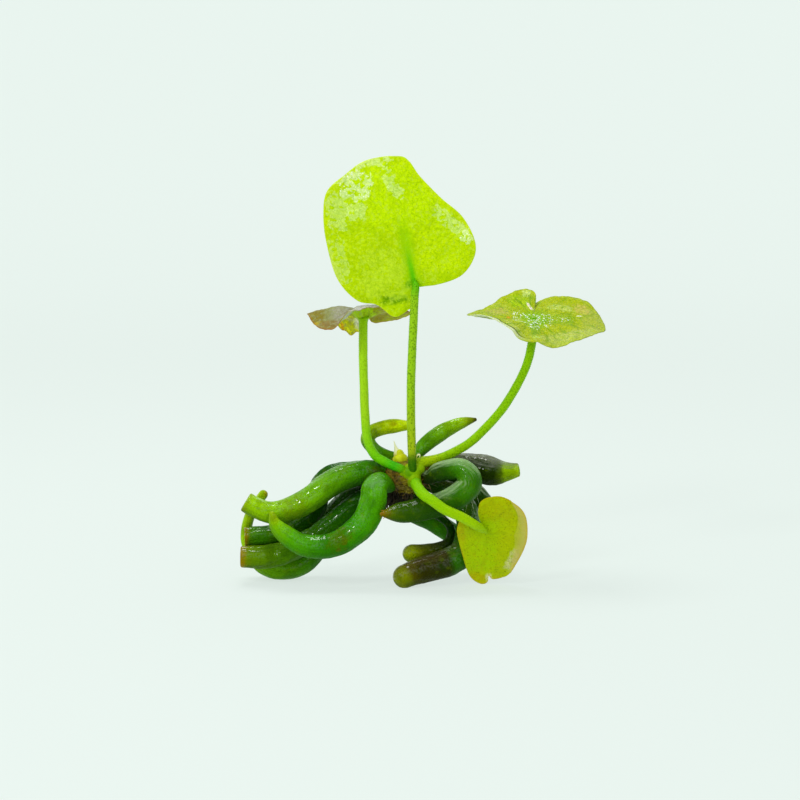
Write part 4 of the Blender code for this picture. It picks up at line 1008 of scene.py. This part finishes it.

# Patches are (centre, half sizes, turn, colour, depth), wet specks (centre, half sizes,
# turn, threshold) and brims (centre, half sizes, turn, line, colour beyond it), all in the
# blade's own plane, in mm and degrees. Some patches and cells paint shade, sheen and
# highlights.
LEAF_LOOKS = {
    "leaf_tall": dict(
        wave=tall_wave, slot="leaf_bright", colour=tint(184, 212, 0), pale=tint(192, 220, 0),
        vein=tint(148, 186, 0), cell=tint(204, 230, 76), dot=tint(120, 164, 0),
        centre=tint(158, 204, 0), under=tint(160, 200, 0), under_pale=tint(180, 212, 20),
        rim=tint(204, 230, 70), rim_from=0.985, rim_depth=0.5, rim_patchy=0.5, net=1.1,
        net_depth=0.3, fleck_depth=0.45, cell_depth=0.3, dot_depth=0.35, ribs=9.0,
        rib_depth=0.04, heart=3.0, roughness=0.55, bump=0.45, coat=0.0, streaks=0.25,
        patches=[
            ((-3.0, 18.0), (12.0, 8.0), 0, tint(200, 232, 0), 0.9),
            ((6.0, 7.0), (6.0, 5.0), 0, tint(200, 228, 0), 0.8),
            # The four darker patches along the crease paint the shade in it.
            ((-4.2, -3.1), (3.2, 1.1), 6, tint(128, 172, 0), 0.9),
            ((-5.2, -2.7), (1.7, 0.4), -12, tint(98, 146, 0), 0.9),
            ((-3.0, -3.2), (1.9, 0.4), 14, tint(98, 146, 0), 0.9),
            ((-6.2, -3.5), (1.1, 0.35), 12, tint(108, 156, 0), 0.9),
            ((-0.5, 0.1), (1.3, 0.8), 0, tint(70, 150, 10), 0.8),
            ((1.0, -3.4), (1.4, 0.35), -12, tint(226, 240, 170), 0.6)],
        cells=[
            # All but the cell at (-6.0, 2.0) paint sheen over the pale mottle on the bends that
            # face the light.
            ((-11.9, 19.8), (3.9, 3.5), -8, PALE_MOTTLE_AND_SHEEN, 0.9),
            ((-9.0, 24.4), (5.0, 1.4), 8, PALE_MOTTLE_AND_SHEEN, 0.6),
            ((-15.4, 14.6), (2.6, 4.6), 0, PALE_MOTTLE_AND_SHEEN, 0.36),
            ((-11.4, 14.6), (2.2, 2.2), 0, PALE_MOTTLE_AND_SHEEN, 0.42),
            ((-5.0, 21.6), (1.5, 2.6), 30, PALE_MOTTLE_AND_SHEEN, 0.4),
            ((-3.4, 18.8), (2.2, 1.4), -40, PALE_MOTTLE_AND_SHEEN, 0.45),
            ((-15.0, 4.6), (2.0, 6.0), 12, PALE_MOTTLE_AND_SHEEN, 0.25),
            ((-6.0, 2.0), (6.0, 6.0), 0, tint(204, 230, 76), 0.25),
            ((7.4, 12.4), (5.4, 1.7), -42, PALE_MOTTLE_AND_SHEEN, 0.42),
            ((10.4, 9.6), (1.7, 1.3), -40, tint(226, 244, 176), 0.7)],
        specks=[((-11.6, 20.0), (3.8, 3.2), -20, 0.6), ((10.4, 9.4), (1.4, 1.0), -40, 0.58)]),
    "leaf_left": dict(
        wave=left_wave, slot="leaf_sheen", colour=tint(136, 140, 84),
        pale=tint(150, 150, 118), vein=tint(110, 104, 50), cell=tint(160, 160, 126),
        dot=tint(100, 74, 20), centre=tint(140, 196, 0), under=tint(176, 190, 0),
        under_pale=tint(154, 140, 0), rim=tint(150, 84, 20), rim_from=0.955, rim_depth=0.6,
        rim_patchy=0.2, net=1.4, net_depth=0.2, fleck_depth=0.3, cell_depth=0.25,
        dot_depth=0.4, ribs=9.0, rib_depth=0.1, heart=2.4, roughness=0.5, bump=0.45,
        coat=0.0, gloss=0.08, shine=(0.9, 1.0, 0.6), streaks=0.3, patches=[
            ((-9.6, -4.4), (2.2, 5.5), 0, tint(128, 112, 0), 0.9),
            ((-7.0, -8.4), (3.2, 2.2), 0, tint(136, 106, 44), 0.85),
            ((-9.4, -6.6), (1.2, 0.9), 0, tint(196, 176, 20), 0.5),
            # These two grey-lilac patches paint the sheen on the top beyond the front rim.
            ((-0.4, -5.2), (5.4, 2.0), 30, tint(206, 204, 204), 0.9),
            ((-4.0, -4.6), (2.4, 2.4), 0, tint(166, 162, 152), 0.7),
            ((-3.0, 7.6), (4.2, 3.4), 0, tint(224, 226, 0), 1.0),
            ((-4.4, 8.2), (0.5, 0.7), 0, tint(220, 150, 0), 0.8),
            # These two pale patches paint highlights on the flap's facets.
            ((-1.2, 6.4), (0.9, 1.2), 0, tint(236, 234, 210), 0.9),
            ((-3.2, 6.2), (1.4, 0.5), 20, tint(220, 218, 150), 0.7)],
        under_patches=[
            ((0.0, -2.8), (2.8, 4.2), 0, tint(176, 214, 0), 1.0),
            ((5.4, -1.4), (2.0, 2.6), 0, tint(168, 152, 0), 0.7),
            ((8.0, 1.0), (1.6, 3.0), 0, tint(136, 96, 0), 0.8)],
        specks=[]),
    "leaf_right": dict(
        wave=side_wave, slot="leaf_bright", colour=tint(168, 180, 0), pale=tint(180, 188, 16),
        vein=tint(116, 154, 0), cell=tint(182, 200, 76), dot=tint(110, 134, 0),
        centre=tint(132, 184, 0), under=tint(170, 190, 60), under_pale=tint(196, 208, 110),
        rim=tint(124, 134, 30), rim_from=0.975, rim_depth=0.6, rim_patchy=0.5, net=1.2,
        net_depth=0.3, fleck_depth=0.4, cell_depth=0.3, dot_depth=0.3, ribs=9.0,
        rib_depth=0.1, heart=4.5, roughness=0.45, bump=0.8, coat=0.0, streaks=0.9,
        patches=[
            ((-8.5, 2.6), (4.6, 3.8), 40, tint(172, 188, 50), 0.8),
            ((-7.2, 2.0), (2.6, 1.6), 20, tint(196, 176, 100), 0.6),
            ((-4.9, -0.4), (0.5, 1.0), 0, tint(226, 130, 16), 0.7),
            ((-2.4, 6.6), (2.4, 2.6), 0, tint(166, 206, 0), 0.6),
            ((-0.9, 9.2), (1.0, 1.2), 0, tint(214, 230, 140), 0.8),
            ((12.2, 0.0), (3.0, 6.0), 0, tint(172, 180, 70), 0.9),
            ((7.4, -7.4), (7.8, 2.4), 23, tint(186, 196, 94), 1.0),
            ((4.4, -0.6), (5.4, 2.4), 6, tint(126, 170, 0), 0.7),
            ((5.8, 4.6), (2.8, 1.2), -8, tint(200, 214, 110), 0.8),
            ((10.0, 4.7), (1.7, 2.0), 0, tint(206, 186, 94), 0.8),
            ((0.3, -1.6), (2.6, 3.6), 0, tint(124, 186, 0), 0.6),
            ((0.2, -5.6), (1.1, 3.4), 0, tint(92, 158, 0), 0.7),
            ((0.1, -9.6), (1.0, 0.8), 0, tint(196, 224, 110), 0.7),
            ((-4.2, -7.0), (1.0, 4.0), 28, tint(206, 216, 130), 0.4),
            # A painted highlight along the edge of the notch.
            ((-0.4, 4.6), (0.32, 1.7), 18, tint(255, 236, 236), 1.0),
            ((-3.0, -2.3), (1.5, 0.25), -18, tint(236, 246, 200), 0.9),
            ((9.4, 1.8), (0.8, 0.25), 15, tint(240, 248, 210), 1.0)],
        brims=[((-7.8, -6.4), (7.6, 4.6), -50, tint(80, 96, 10), tint(214, 222, 180))],
        specks=[((1.4, -0.6), (2.4, 2.8), -20, 0.43), ((-3.2, 0.6), (0.9, 2.6), 0, 0.44),
                ((-1.6, 1.0), (1.4, 0.9), -20, 0.44), ((0.0, -3.2), (1.3, 2.6), 0, 0.44),
                ((5.2, -0.6), (3.2, 1.0), 12, 0.5), ((2.8, -3.4), (0.8, 0.8), 0, 0.44)]),
    "leaf_small": dict(
        wave=small_wave, fold=small_margin, fold_colour=tint(192, 176, 92),
        slot="leaf_olive", colour=tint(166, 182, 0), pale=tint(174, 190, 0),
        vein=tint(146, 162, 0), cell=tint(180, 196, 10), dot=tint(118, 122, 0),
        centre=tint(160, 198, 0), under=tint(150, 166, 10), under_pale=tint(176, 184, 40),
        rim=tint(188, 134, 20), rim_from=0.93, rim_depth=0.4, rim_patchy=0.7, net=1.2,
        net_depth=0.1, fleck_depth=0.25, cell_depth=0.2, dot_depth=0.7, ribs=8.0,
        rib_depth=0.08, heart=5.0, roughness=0.5, bump=0.4, coat=0.0, streaks=0.4,
        patches=[
            ((2.6, 4.8), (4.4, 2.8), 0, tint(170, 170, 0), 0.6),
            ((5.0, 0.0), (2.6, 4.0), 0, tint(176, 182, 0), 0.5),
            ((-0.6, -6.5), (3.6, 4.6), 0, tint(160, 198, 0), 0.7),
            ((2.4, -0.8), (2.4, 0.4), 4, tint(140, 162, 0), 0.35),
            ((0.2, -4.6), (0.4, 2.2), 4, tint(142, 172, 0), 0.3),
            ((-1.4, -11.8), (2.2, 1.4), -20, tint(178, 150, 0), 0.45),
            ((-4.9, 0.0), (0.9, 3.4), 8, tint(178, 148, 10), 0.4),
            ((5.4, -7.0), (1.0, 2.8), -22, tint(214, 206, 156), 0.7),
            ((0.9, -11.6), (0.7, 1.2), 0, tint(226, 222, 170), 0.7)],
        specks=[]),
}
LEAF_DEFAULTS = dict(fold=flat_margin, cells=[], under_patches=[], brims=[], shine=(0.8, 1.0, 0.2),
                     gloss=0.1, streaks=0.15)


def build_leaf(name, look, sizes):
    """A leaf blade with its own waves."""
    look = {**LEAF_DEFAULTS, **look}
    points, faces, attributes = fan(columns=360, rows=56, wave=look["wave"], fold=look["fold"],
                                    sizes=sizes, **RIMS[name])
    return add_piece(name + "_blade", points, faces, attributes, leaf_finish(name, look),
                     name, look["slot"])


# Crown

def bark_finish(name, dark, middle, light, wet=0.1, right=None):
    """Fibrous bark with dark gaps and pale threads, in another colour at the right."""
    finish = Finish(name)
    grain = finish.noise(finish.place, 1500.0, 5.0, 0.65)
    patch = finish.noise(finish.place, 520.0, 3.0)
    shade = finish.mix(grain.step(0.36, 0.6), dark, middle)
    shade = finish.mix(patch.step(0.48, 0.66) * 0.7, shade, light)
    if right:
        x, y, z = finish.parts(finish.place)
        across = (x + (patch - 0.5) * 0.005).step(-0.0068, -0.003) * (1 - x.step(-0.002, 0.0))
        shade = finish.mix(across * (0.3 + 0.5 * grain.step(0.4, 0.6)), shade, right)
    return finish.surface(shade, 0.5 + 0.2 * grain, grain + patch, 0.9, 0.0003, **{
        "Coat Weight": wet, "Coat Roughness": 0.3, "Specular IOR Level": 0.2})


def crown_spokes(count, seed, low, high):
    """Random directions out of the crown, between two heights (-1 is straight down)."""
    draw = np.random.default_rng(seed)
    rise = draw.uniform(low, high, count)
    turn = draw.uniform(0, 2 * math.pi, count)
    level = np.sqrt(1 - rise ** 2)
    return np.stack([level * np.cos(turn), level * np.sin(turn), rise], axis=1)


def build_crown(sizes):
    """The crown's lumpy core, its overlapping bark flakes, its roots and its fine hairs.

    The core is the unit ball times the crown's radii, shrunk by up to a tenth where the
    waves are low. Flakes and hairs stand on it in random directions. Roots hang below it.
    """
    centre, radii = np.asarray(CROWN_CENTRE), np.asarray(CROWN_RADII)
    form, faces = ball(60, 96)
    size = 0.92 + 0.04 * waves(form * radii, 5, 3.0) + 0.02 * waves(form * radii, 6, 1.0)
    add_piece("crown_bark", centre + form * radii * size[:, None], faces, {},
              bark_finish("crown_bark", DARK_BROWN, BARK, tint(128, 112, 20),
                          right=tint(150, 140, 6)), "crown", "bark")

    draw = np.random.default_rng(11)
    spokes = crown_spokes(210, 12, -0.95, 0.8)
    flake_size = draw.uniform((0.5, 0.14, 0.6), (1.2, 0.3, 1.3), (len(spokes), 3))
    outward = unit(spokes / radii)
    points, faces = flakes(centre + spokes * radii * 0.86, outward, np.array((0, 0, 1.0)),
                           flake_size, 13)
    add_piece("crown_flakes", points, faces, {},
              bark_finish("crown_flakes", tint(46, 32, 4), tint(120, 94, 10),
                          tint(150, 134, 20), right=tint(160, 150, 4)), None, "bark")

    spokes = crown_spokes(110, 14, -1.0, 0.45)
    ways = unit(spokes + np.array((0, 0, -0.3)) + draw.normal(0, 0.35, spokes.shape))
    points, faces = fibres(centre + spokes * radii * 0.9, ways,
                           draw.uniform(0.4, 1.3, len(spokes)),
                           draw.uniform(0.03, 0.07, len(spokes)), 0.3, 15)
    add_piece("crown_hairs", points, faces, {},
              bark_finish("crown_hairs", tint(80, 56, 20), tint(150, 118, 60),
                          tint(196, 176, 120)), None, "bark")

    # The roots are near-black, which also paints the shade in the hollow under the crown.
    count = 120
    starts = draw.uniform((-8.0, -3.0, 18.6), (-2.2, 2.6, 19.4), (count, 3))
    starts[:50] = draw.uniform((-7.9, -1.5, 18.2), (-5.6, 2.4, 18.8), (50, 3))
    ways = unit(draw.uniform((-0.3, -0.35, -1.0), (0.3, 0.35, -1.0), (count, 3)))
    radii = draw.uniform(0.16, 0.5, count)
    radii[:50] += 0.15
    points, faces = fibres(starts, ways, draw.uniform(2.4, 4.4, count), radii, 0.0, 16,
                           rings=14, sides=9)
    add_piece("crown_roots", points, faces, {},
              bark_finish("crown_roots", tint(20, 14, 4), tint(40, 30, 8),
                          tint(84, 66, 28), 0.1), None, "bark")


# The leaf stalks' feet grow together in this sheath: centre and radii.
SHEATHS = [((-2.5, -3.6, 22.5), (2.1, 1.9, 1.9)), ((-2.0, -3.9, 21.2), (1.5, 2.1, 1.8)),
           ((-1.3, -2.9, 23.2), (1.6, 1.6, 1.4)), ((-3.5, -3.6, 22.5), (1.7, 1.6, 1.1))]


def build_sheath(sizes):
    """The fleshy sheath round the stalks' feet: balls of different sizes, gently lumpy."""
    finish = Finish("sheath_skin")
    x, y, z = finish.parts(finish.place)
    blend = finish.noise(finish.place, 420.0, 3.0)
    colour = finish.mix(blend.step(0.35, 0.65), SHEATH_GREEN, tint(150, 184, 0))
    low = 1 - (z + (blend - 0.5) * 0.002).step(0.0202, 0.0222)
    colour = finish.mix(low * 0.4, colour, tint(120, 124, 0))
    # Painted shade: a darker green in the crevice between the stalks' feet.
    between = finish.spot((-3.4, -5.2, 23.0), 1.3, 2.0)
    colour = finish.mix(between * 0.8, colour, tint(76, 138, 0))
    material = finish.surface(colour, 0.5, finish.noise(finish.place, 1800.0, 3.0), 0.4,
                              0.0002, **{"Coat Weight": 0.04, "Coat Roughness": 0.25,
                                         "Specular IOR Level": 0.2,
                                         "Specular Tint": (0.6, 1.0, 0.1, 1.0)})
    form, faces = ball(28, 40)
    parts = [np.asarray(centre) + form * radii
             * (1 + 0.02 * waves(form * radii, number, 2.0))[:, None]
             for number, (centre, radii) in enumerate(SHEATHS)]
    return add_piece("crown_sheath", np.vstack(parts), copies(faces, len(form), len(parts)),
                     {}, material, None, "stalk")


BUD_BODY = [(-4.4, -1.2, 23.6, 1.2), (-4.6, -1.2, 24.6, 1.6), (-4.7, -1.1, 25.3, 1.5),
            (-4.8, -1.0, 25.8, 1.0)]
BUD_SCALE = [(-4.9, -0.9, 25.5, 1.1), (-5.15, -0.8, 26.1, 0.95), (-5.4, -0.7, 26.7, 0.5),
             (-5.65, -0.6, 27.4, 0.22), (-5.9, -0.4, 28.3, 0.08)]
BUD_CURL = [(-1.7, -3.9, 25.4, 0.22), (-1.3, -4.1, 26.0, 0.2), (-0.95, -4.1, 26.2, 0.17),
            (-0.75, -4.1, 26.0, 0.14), (-0.8, -4.1, 25.7, 0.08)]


def build_bud(sizes):
    """The yellow bud, its pale pointed scale and a small dry curl, as tubes with soft ribs."""
    def relief(along, angle, place):
        return 0.95 + 0.04 * np.cos(angle * 5 + along)

    finish = Finish("bud_skin")
    patch = finish.noise(finish.place, 800.0, 3.0)
    colour = finish.mix(patch.step(0.35, 0.6), tint(196, 200, 0), tint(212, 220, 0))
    colour = finish.mix(patch.step(0.62, 0.72) * 0.7, colour, tint(150, 116, 0))
    bud_skin = finish.surface(colour, 0.45, patch, 0.4, 0.0002, **{"Specular IOR Level": 0.2})
    finish = Finish("scale_skin")
    from_tip, along, up = finish.parts(finish.attribute("run"))
    colour = finish.mix(along.step(0.2, 1.2), tint(216, 206, 80), tint(232, 230, 176))
    scale_skin = finish.surface(colour, 0.5, finish.noise(finish.place, 2000.0), 0.4, 0.0001)
    for name, route, material, node_name in (
            ("crown_bud_body", BUD_BODY, bud_skin, "crown_bud"),
            ("crown_bud_scale", BUD_SCALE, scale_skin, None),
            ("crown_bud_curl", BUD_CURL, scale_skin, None)):
        points, faces, attributes = tube(route, 60, 24, round_end(5), TO_VIEWER, relief)
        add_piece(name, points, faces, attributes, material, node_name, "bud")


# Loose hairs: (start, way, length, radius), pale ones between the right tubers and dark
# ones in the hollow of the hairpin.
PALE_HAIRS = [((10.9, -3.0, 20.2), (0.0, -0.2, -1.0), 6.0, 0.05),
              ((10.4, -4.0, 19.6), (-0.15, -0.2, -1.0), 4.2, 0.045),
              ((9.6, -5.0, 19.0), (-0.5, -0.1, -1.0), 3.4, 0.045),
              ((9.2, -5.0, 17.8), (0.35, -0.2, -1.0), 4.4, 0.05),
              ((8.8, -5.6, 17.2), (-0.4, 0.1, -1.0), 2.2, 0.04)]
TIP_HAIRS = [((-7.4, -11.2, 15.9), (-1.0, -0.3, 0.5), 1.1, 0.14),
             ((-7.6, -11.4, 15.6), (-1.0, -0.2, 0.1), 1.2, 0.16),
             ((-7.5, -11.4, 15.3), (-1.0, -0.1, -0.3), 1.1, 0.15),
             ((-7.3, -11.7, 15.2), (-1.0, -0.3, -0.7), 0.9, 0.12),
             ((-7.3, -11.0, 15.5), (-1.0, 0.2, 0.3), 1.2, 0.13),
             ((-7.5, -11.7, 15.6), (-1.0, -0.5, 0.3), 1.0, 0.14)]
DARK_HAIRS = [((0.4, -3.0, 20.6), (0.5, -0.5, -0.6), 2.4, 0.09),
              ((0.9, -3.6, 20.9), (0.9, -0.3, -0.4), 2.2, 0.07),
              ((0.2, -3.4, 19.8), (0.6, -0.6, -0.2), 2.0, 0.1),
              ((1.4, -3.8, 21.0), (0.7, -0.2, 0.1), 2.0, 0.06)]


def build_hairs(sizes):
    """The loose root hairs, as thin bent fibres."""
    for name, hairs, tones in (
            ("root_hairs_pale", PALE_HAIRS, (tint(170, 176, 130), tint(214, 222, 196), GLINT_AND_HAIR_WHITE)),
            ("tip_fibres", TIP_HAIRS, (tint(110, 60, 4), tint(176, 112, 14),
                                       tint(206, 150, 40))),
            ("root_hairs_dark", DARK_HAIRS, (tint(40, 30, 10), tint(110, 84, 44),
                                             tint(176, 150, 100)))):
        starts, ways, lengths, radii = (np.array(part, float) for part in zip(*hairs))
        points, faces = fibres(starts, unit(ways), lengths, radii, 0.15, 17, rings=18)
        add_piece(name, points, faces, {}, bark_finish(name, *tones), None, "bark")


# Stage

CAMERA_TARGET = (-4.7, 0, 36.6)
CAMERA_DISTANCE = 444
CAMERA_ELEVATION = 7
BACKDROP = tint(234, 244, 239)
# How brightly the sweep is lit at distances (m) from the plant. Its own glow makes up the
# rest, so that it looks even.
SWEEP_LIGHT = [(0.05, 1.16), (0.3, 1.0), (0.6, 0.84), (0.95, 0.73)]


def build_stage(stage):
    """A round pale sweep, soft lights and the camera at the photo's angle.

    The sweep is a profile turned about the plant's axis: flat to the floor's edge, then a
    quarter circle up to the wall.
    """
    flat = np.linspace(0.02, 0.75, 12)
    bend = np.linspace(0, math.pi / 2, 14)[1:]
    radius = np.concatenate([flat, 0.75 + 0.35 * np.sin(bend), [1.1]])
    height = np.concatenate([0 * flat, 0.35 * (1 - np.cos(bend)), [1.2]])
    turn = np.linspace(0, 2 * math.pi, 96, endpoint=False)
    points = np.stack(np.broadcast_arrays(
        radius[:, None] * np.cos(turn), radius[:, None] * np.sin(turn), height[:, None]), axis=-1)
    rows = len(radius)
    faces = quads(rows, 96, True)[:, ::-1].tolist()
    side = np.arange(96)
    faces += np.stack([(side + 1) % 96, np.full(96, rows * 96), side], axis=1).tolist()
    mesh = bpy.data.meshes.new("sweep")
    mesh.from_pydata(np.vstack([points.reshape(-1, 3), (0, 0, 0)]).tolist(), [], faces)
    mesh.shade_smooth()
    finish = Finish("sweep_paper")
    reach = finish.node("ShaderNodeVectorMath", {"operation": "LENGTH"}, {0: finish.place},
                        out="Value")
    own = finish.ramp(reach, [(where, (1 - stage.paper * light,) * 3)
                              for where, light in SWEEP_LIGHT])
    mesh.materials.append(finish.surface(
        tuple(value * stage.paper for value in stage.backdrop), 1.0, **{
            "Emission Color": finish.mix(1.0, stage.backdrop[:], own, "MULTIPLY"),
            "Emission Strength": 1.0, "Specular IOR Level": 0.0}))
    sweep = bpy.data.objects.new("sweep", mesh)
    bpy.context.scene.collection.objects.link(sweep)

    world = bpy.data.worlds.new("studio")
    bpy.context.scene.world = world
    world.use_nodes = True
    world.node_tree.nodes["Background"].inputs["Color"].default_value = (1, 1, 1, 1)
    world.node_tree.nodes["Background"].inputs["Strength"].default_value = stage.room_light

    for name, place, size, power in (
            ("top_box", (-0.05, 0.06, 0.42), 0.18, stage.top_power),
            ("front_box", (-0.30, -0.42, 0.36), 0.10, stage.front_power)):
        light = bpy.data.lights.new(name, "AREA")
        light.shape = "SQUARE"
        light.size = size
        light.energy = power
        lamp = bpy.data.objects.new(name, light)
        lamp.location = place
        way = Vector((-0.004, 0, 0.03)) - Vector(place)
        lamp.rotation_euler = way.to_track_quat("-Z", "Y").to_euler()
        bpy.context.scene.collection.objects.link(lamp)

    camera = bpy.data.objects.new("camera", bpy.data.cameras.new("camera"))
    camera.data.lens = 100
    camera.data.sensor_width = 36
    camera.data.clip_start = 0.01
    tilt = math.radians(CAMERA_ELEVATION)
    view = Vector((0, math.cos(tilt), -math.sin(tilt)))
    camera.location = (Vector(CAMERA_TARGET) - view * CAMERA_DISTANCE) * MM
    camera.rotation_euler = view.to_track_quat("-Z", "Y").to_euler()
    bpy.context.scene.collection.objects.link(camera)
    bpy.context.scene.camera = camera
    bpy.context.scene.view_settings.view_transform = "Standard"


# Add-on

class LilySizes(PropertyGroup):
    """Sizes of the finish that a user would change."""
    blade_thickness: FloatProperty(
        name="Blade thickness", description="Thickness of a leaf blade in millimetres",
        default=0.3, min=0.05, max=0.5)
    ridge_depth: FloatProperty(
        name="Ridge depth", description="How deep the tubers' ridges are, as a factor",
        default=1.0, min=0.0, max=2.0, subtype="FACTOR")
    dot_height: FloatProperty(
        name="Dot height", description="Height of the stalks' raised dots, in stalk radii",
        default=0.1, min=0.0, max=0.2, subtype="FACTOR")


class LilyStage(PropertyGroup):
    """The backdrop and the lights."""
    backdrop: FloatVectorProperty(
        name="Backdrop", description="Colour of the floor and the sweep", subtype="COLOR",
        default=BACKDROP, min=0.0, max=1.0)
    paper: FloatProperty(
        name="Paper", description="How much of the light that falls on the sweep it gives back",
        default=0.22, min=0.0, max=0.7, subtype="FACTOR")
    room_light: FloatProperty(
        name="Room light", description="Strength of the even light", default=0.35, min=0.0)
    top_power: FloatProperty(
        name="Top light", description="Power of the light above", default=0.8, min=0.0,
        unit="POWER")
    front_power: FloatProperty(
        name="Front light", description="Power of the light at the front left", default=1.0,
        min=0.0, unit="POWER")


class LILY_OT_tubers(Operator):
    """Dress the tubers"""
    bl_idname = "lily.tubers"
    bl_label = "Tubers"

    def execute(self, context):
        for name, look in TUBER_LOOKS.items():
            build_tuber(name, look, context.scene.lily_sizes)
        return {"FINISHED"}


class LILY_OT_stalks(Operator):
    """Dress the leaf stalks"""
    bl_idname = "lily.stalks"
    bl_label = "Stalks"

    def execute(self, context):
        for name, look in STALK_LOOKS.items():
            build_stalk(name, look, context.scene.lily_sizes)
        return {"FINISHED"}


class LILY_OT_leaves(Operator):
    """Make the leaf blades"""
    bl_idname = "lily.leaves"
    bl_label = "Leaves"

    def execute(self, context):
        for name, look in LEAF_LOOKS.items():
            build_leaf(name, look, context.scene.lily_sizes)
        return {"FINISHED"}


class LILY_OT_crown(Operator):
    """Make the crown, its sheath, bud and root hairs"""
    bl_idname = "lily.crown"
    bl_label = "Crown"

    def execute(self, context):
        for build in (build_crown, build_sheath, build_bud, build_hairs):
            build(context.scene.lily_sizes)
        return {"FINISHED"}


class LILY_OT_stage(Operator):
    """Set up the sweep, the lights and the camera"""
    bl_idname = "lily.stage"
    bl_label = "Stage"

    def execute(self, context):
        build_stage(context.scene.lily_stage)
        return {"FINISHED"}


STEPS = (LILY_OT_tubers, LILY_OT_stalks, LILY_OT_leaves, LILY_OT_crown, LILY_OT_stage)


class LILY_PT_panel(Panel):
    """The banana lily's steps and sizes"""
    bl_idname = "LILY_PT_panel"
    bl_label = "Banana Lily"
    bl_space_type = "VIEW_3D"
    bl_region_type = "UI"
    bl_category = "Banana Lily"

    def draw(self, context):
        layout = self.layout
        for step in STEPS:
            layout.operator(step.bl_idname)
        for group in (context.scene.lily_sizes, context.scene.lily_stage):
            for key in group.__annotations__:
                layout.prop(group, key)


CLASSES = (LilySizes, LilyStage, *STEPS, LILY_PT_panel)


def register():
    for item in CLASSES:
        bpy.utils.register_class(item)
    bpy.types.Scene.lily_sizes = PointerProperty(type=LilySizes)
    bpy.types.Scene.lily_stage = PointerProperty(type=LilyStage)


def unregister():
    del bpy.types.Scene.lily_stage
    del bpy.types.Scene.lily_sizes
    for item in reversed(CLASSES):
        bpy.utils.unregister_class(item)


def main():
    """Dress the plant and set its stage."""
    register()
    for step in STEPS:
        group, name = step.bl_idname.split(".")
        getattr(getattr(bpy.ops, group), name)()


if __name__ == "__main__":
    main()
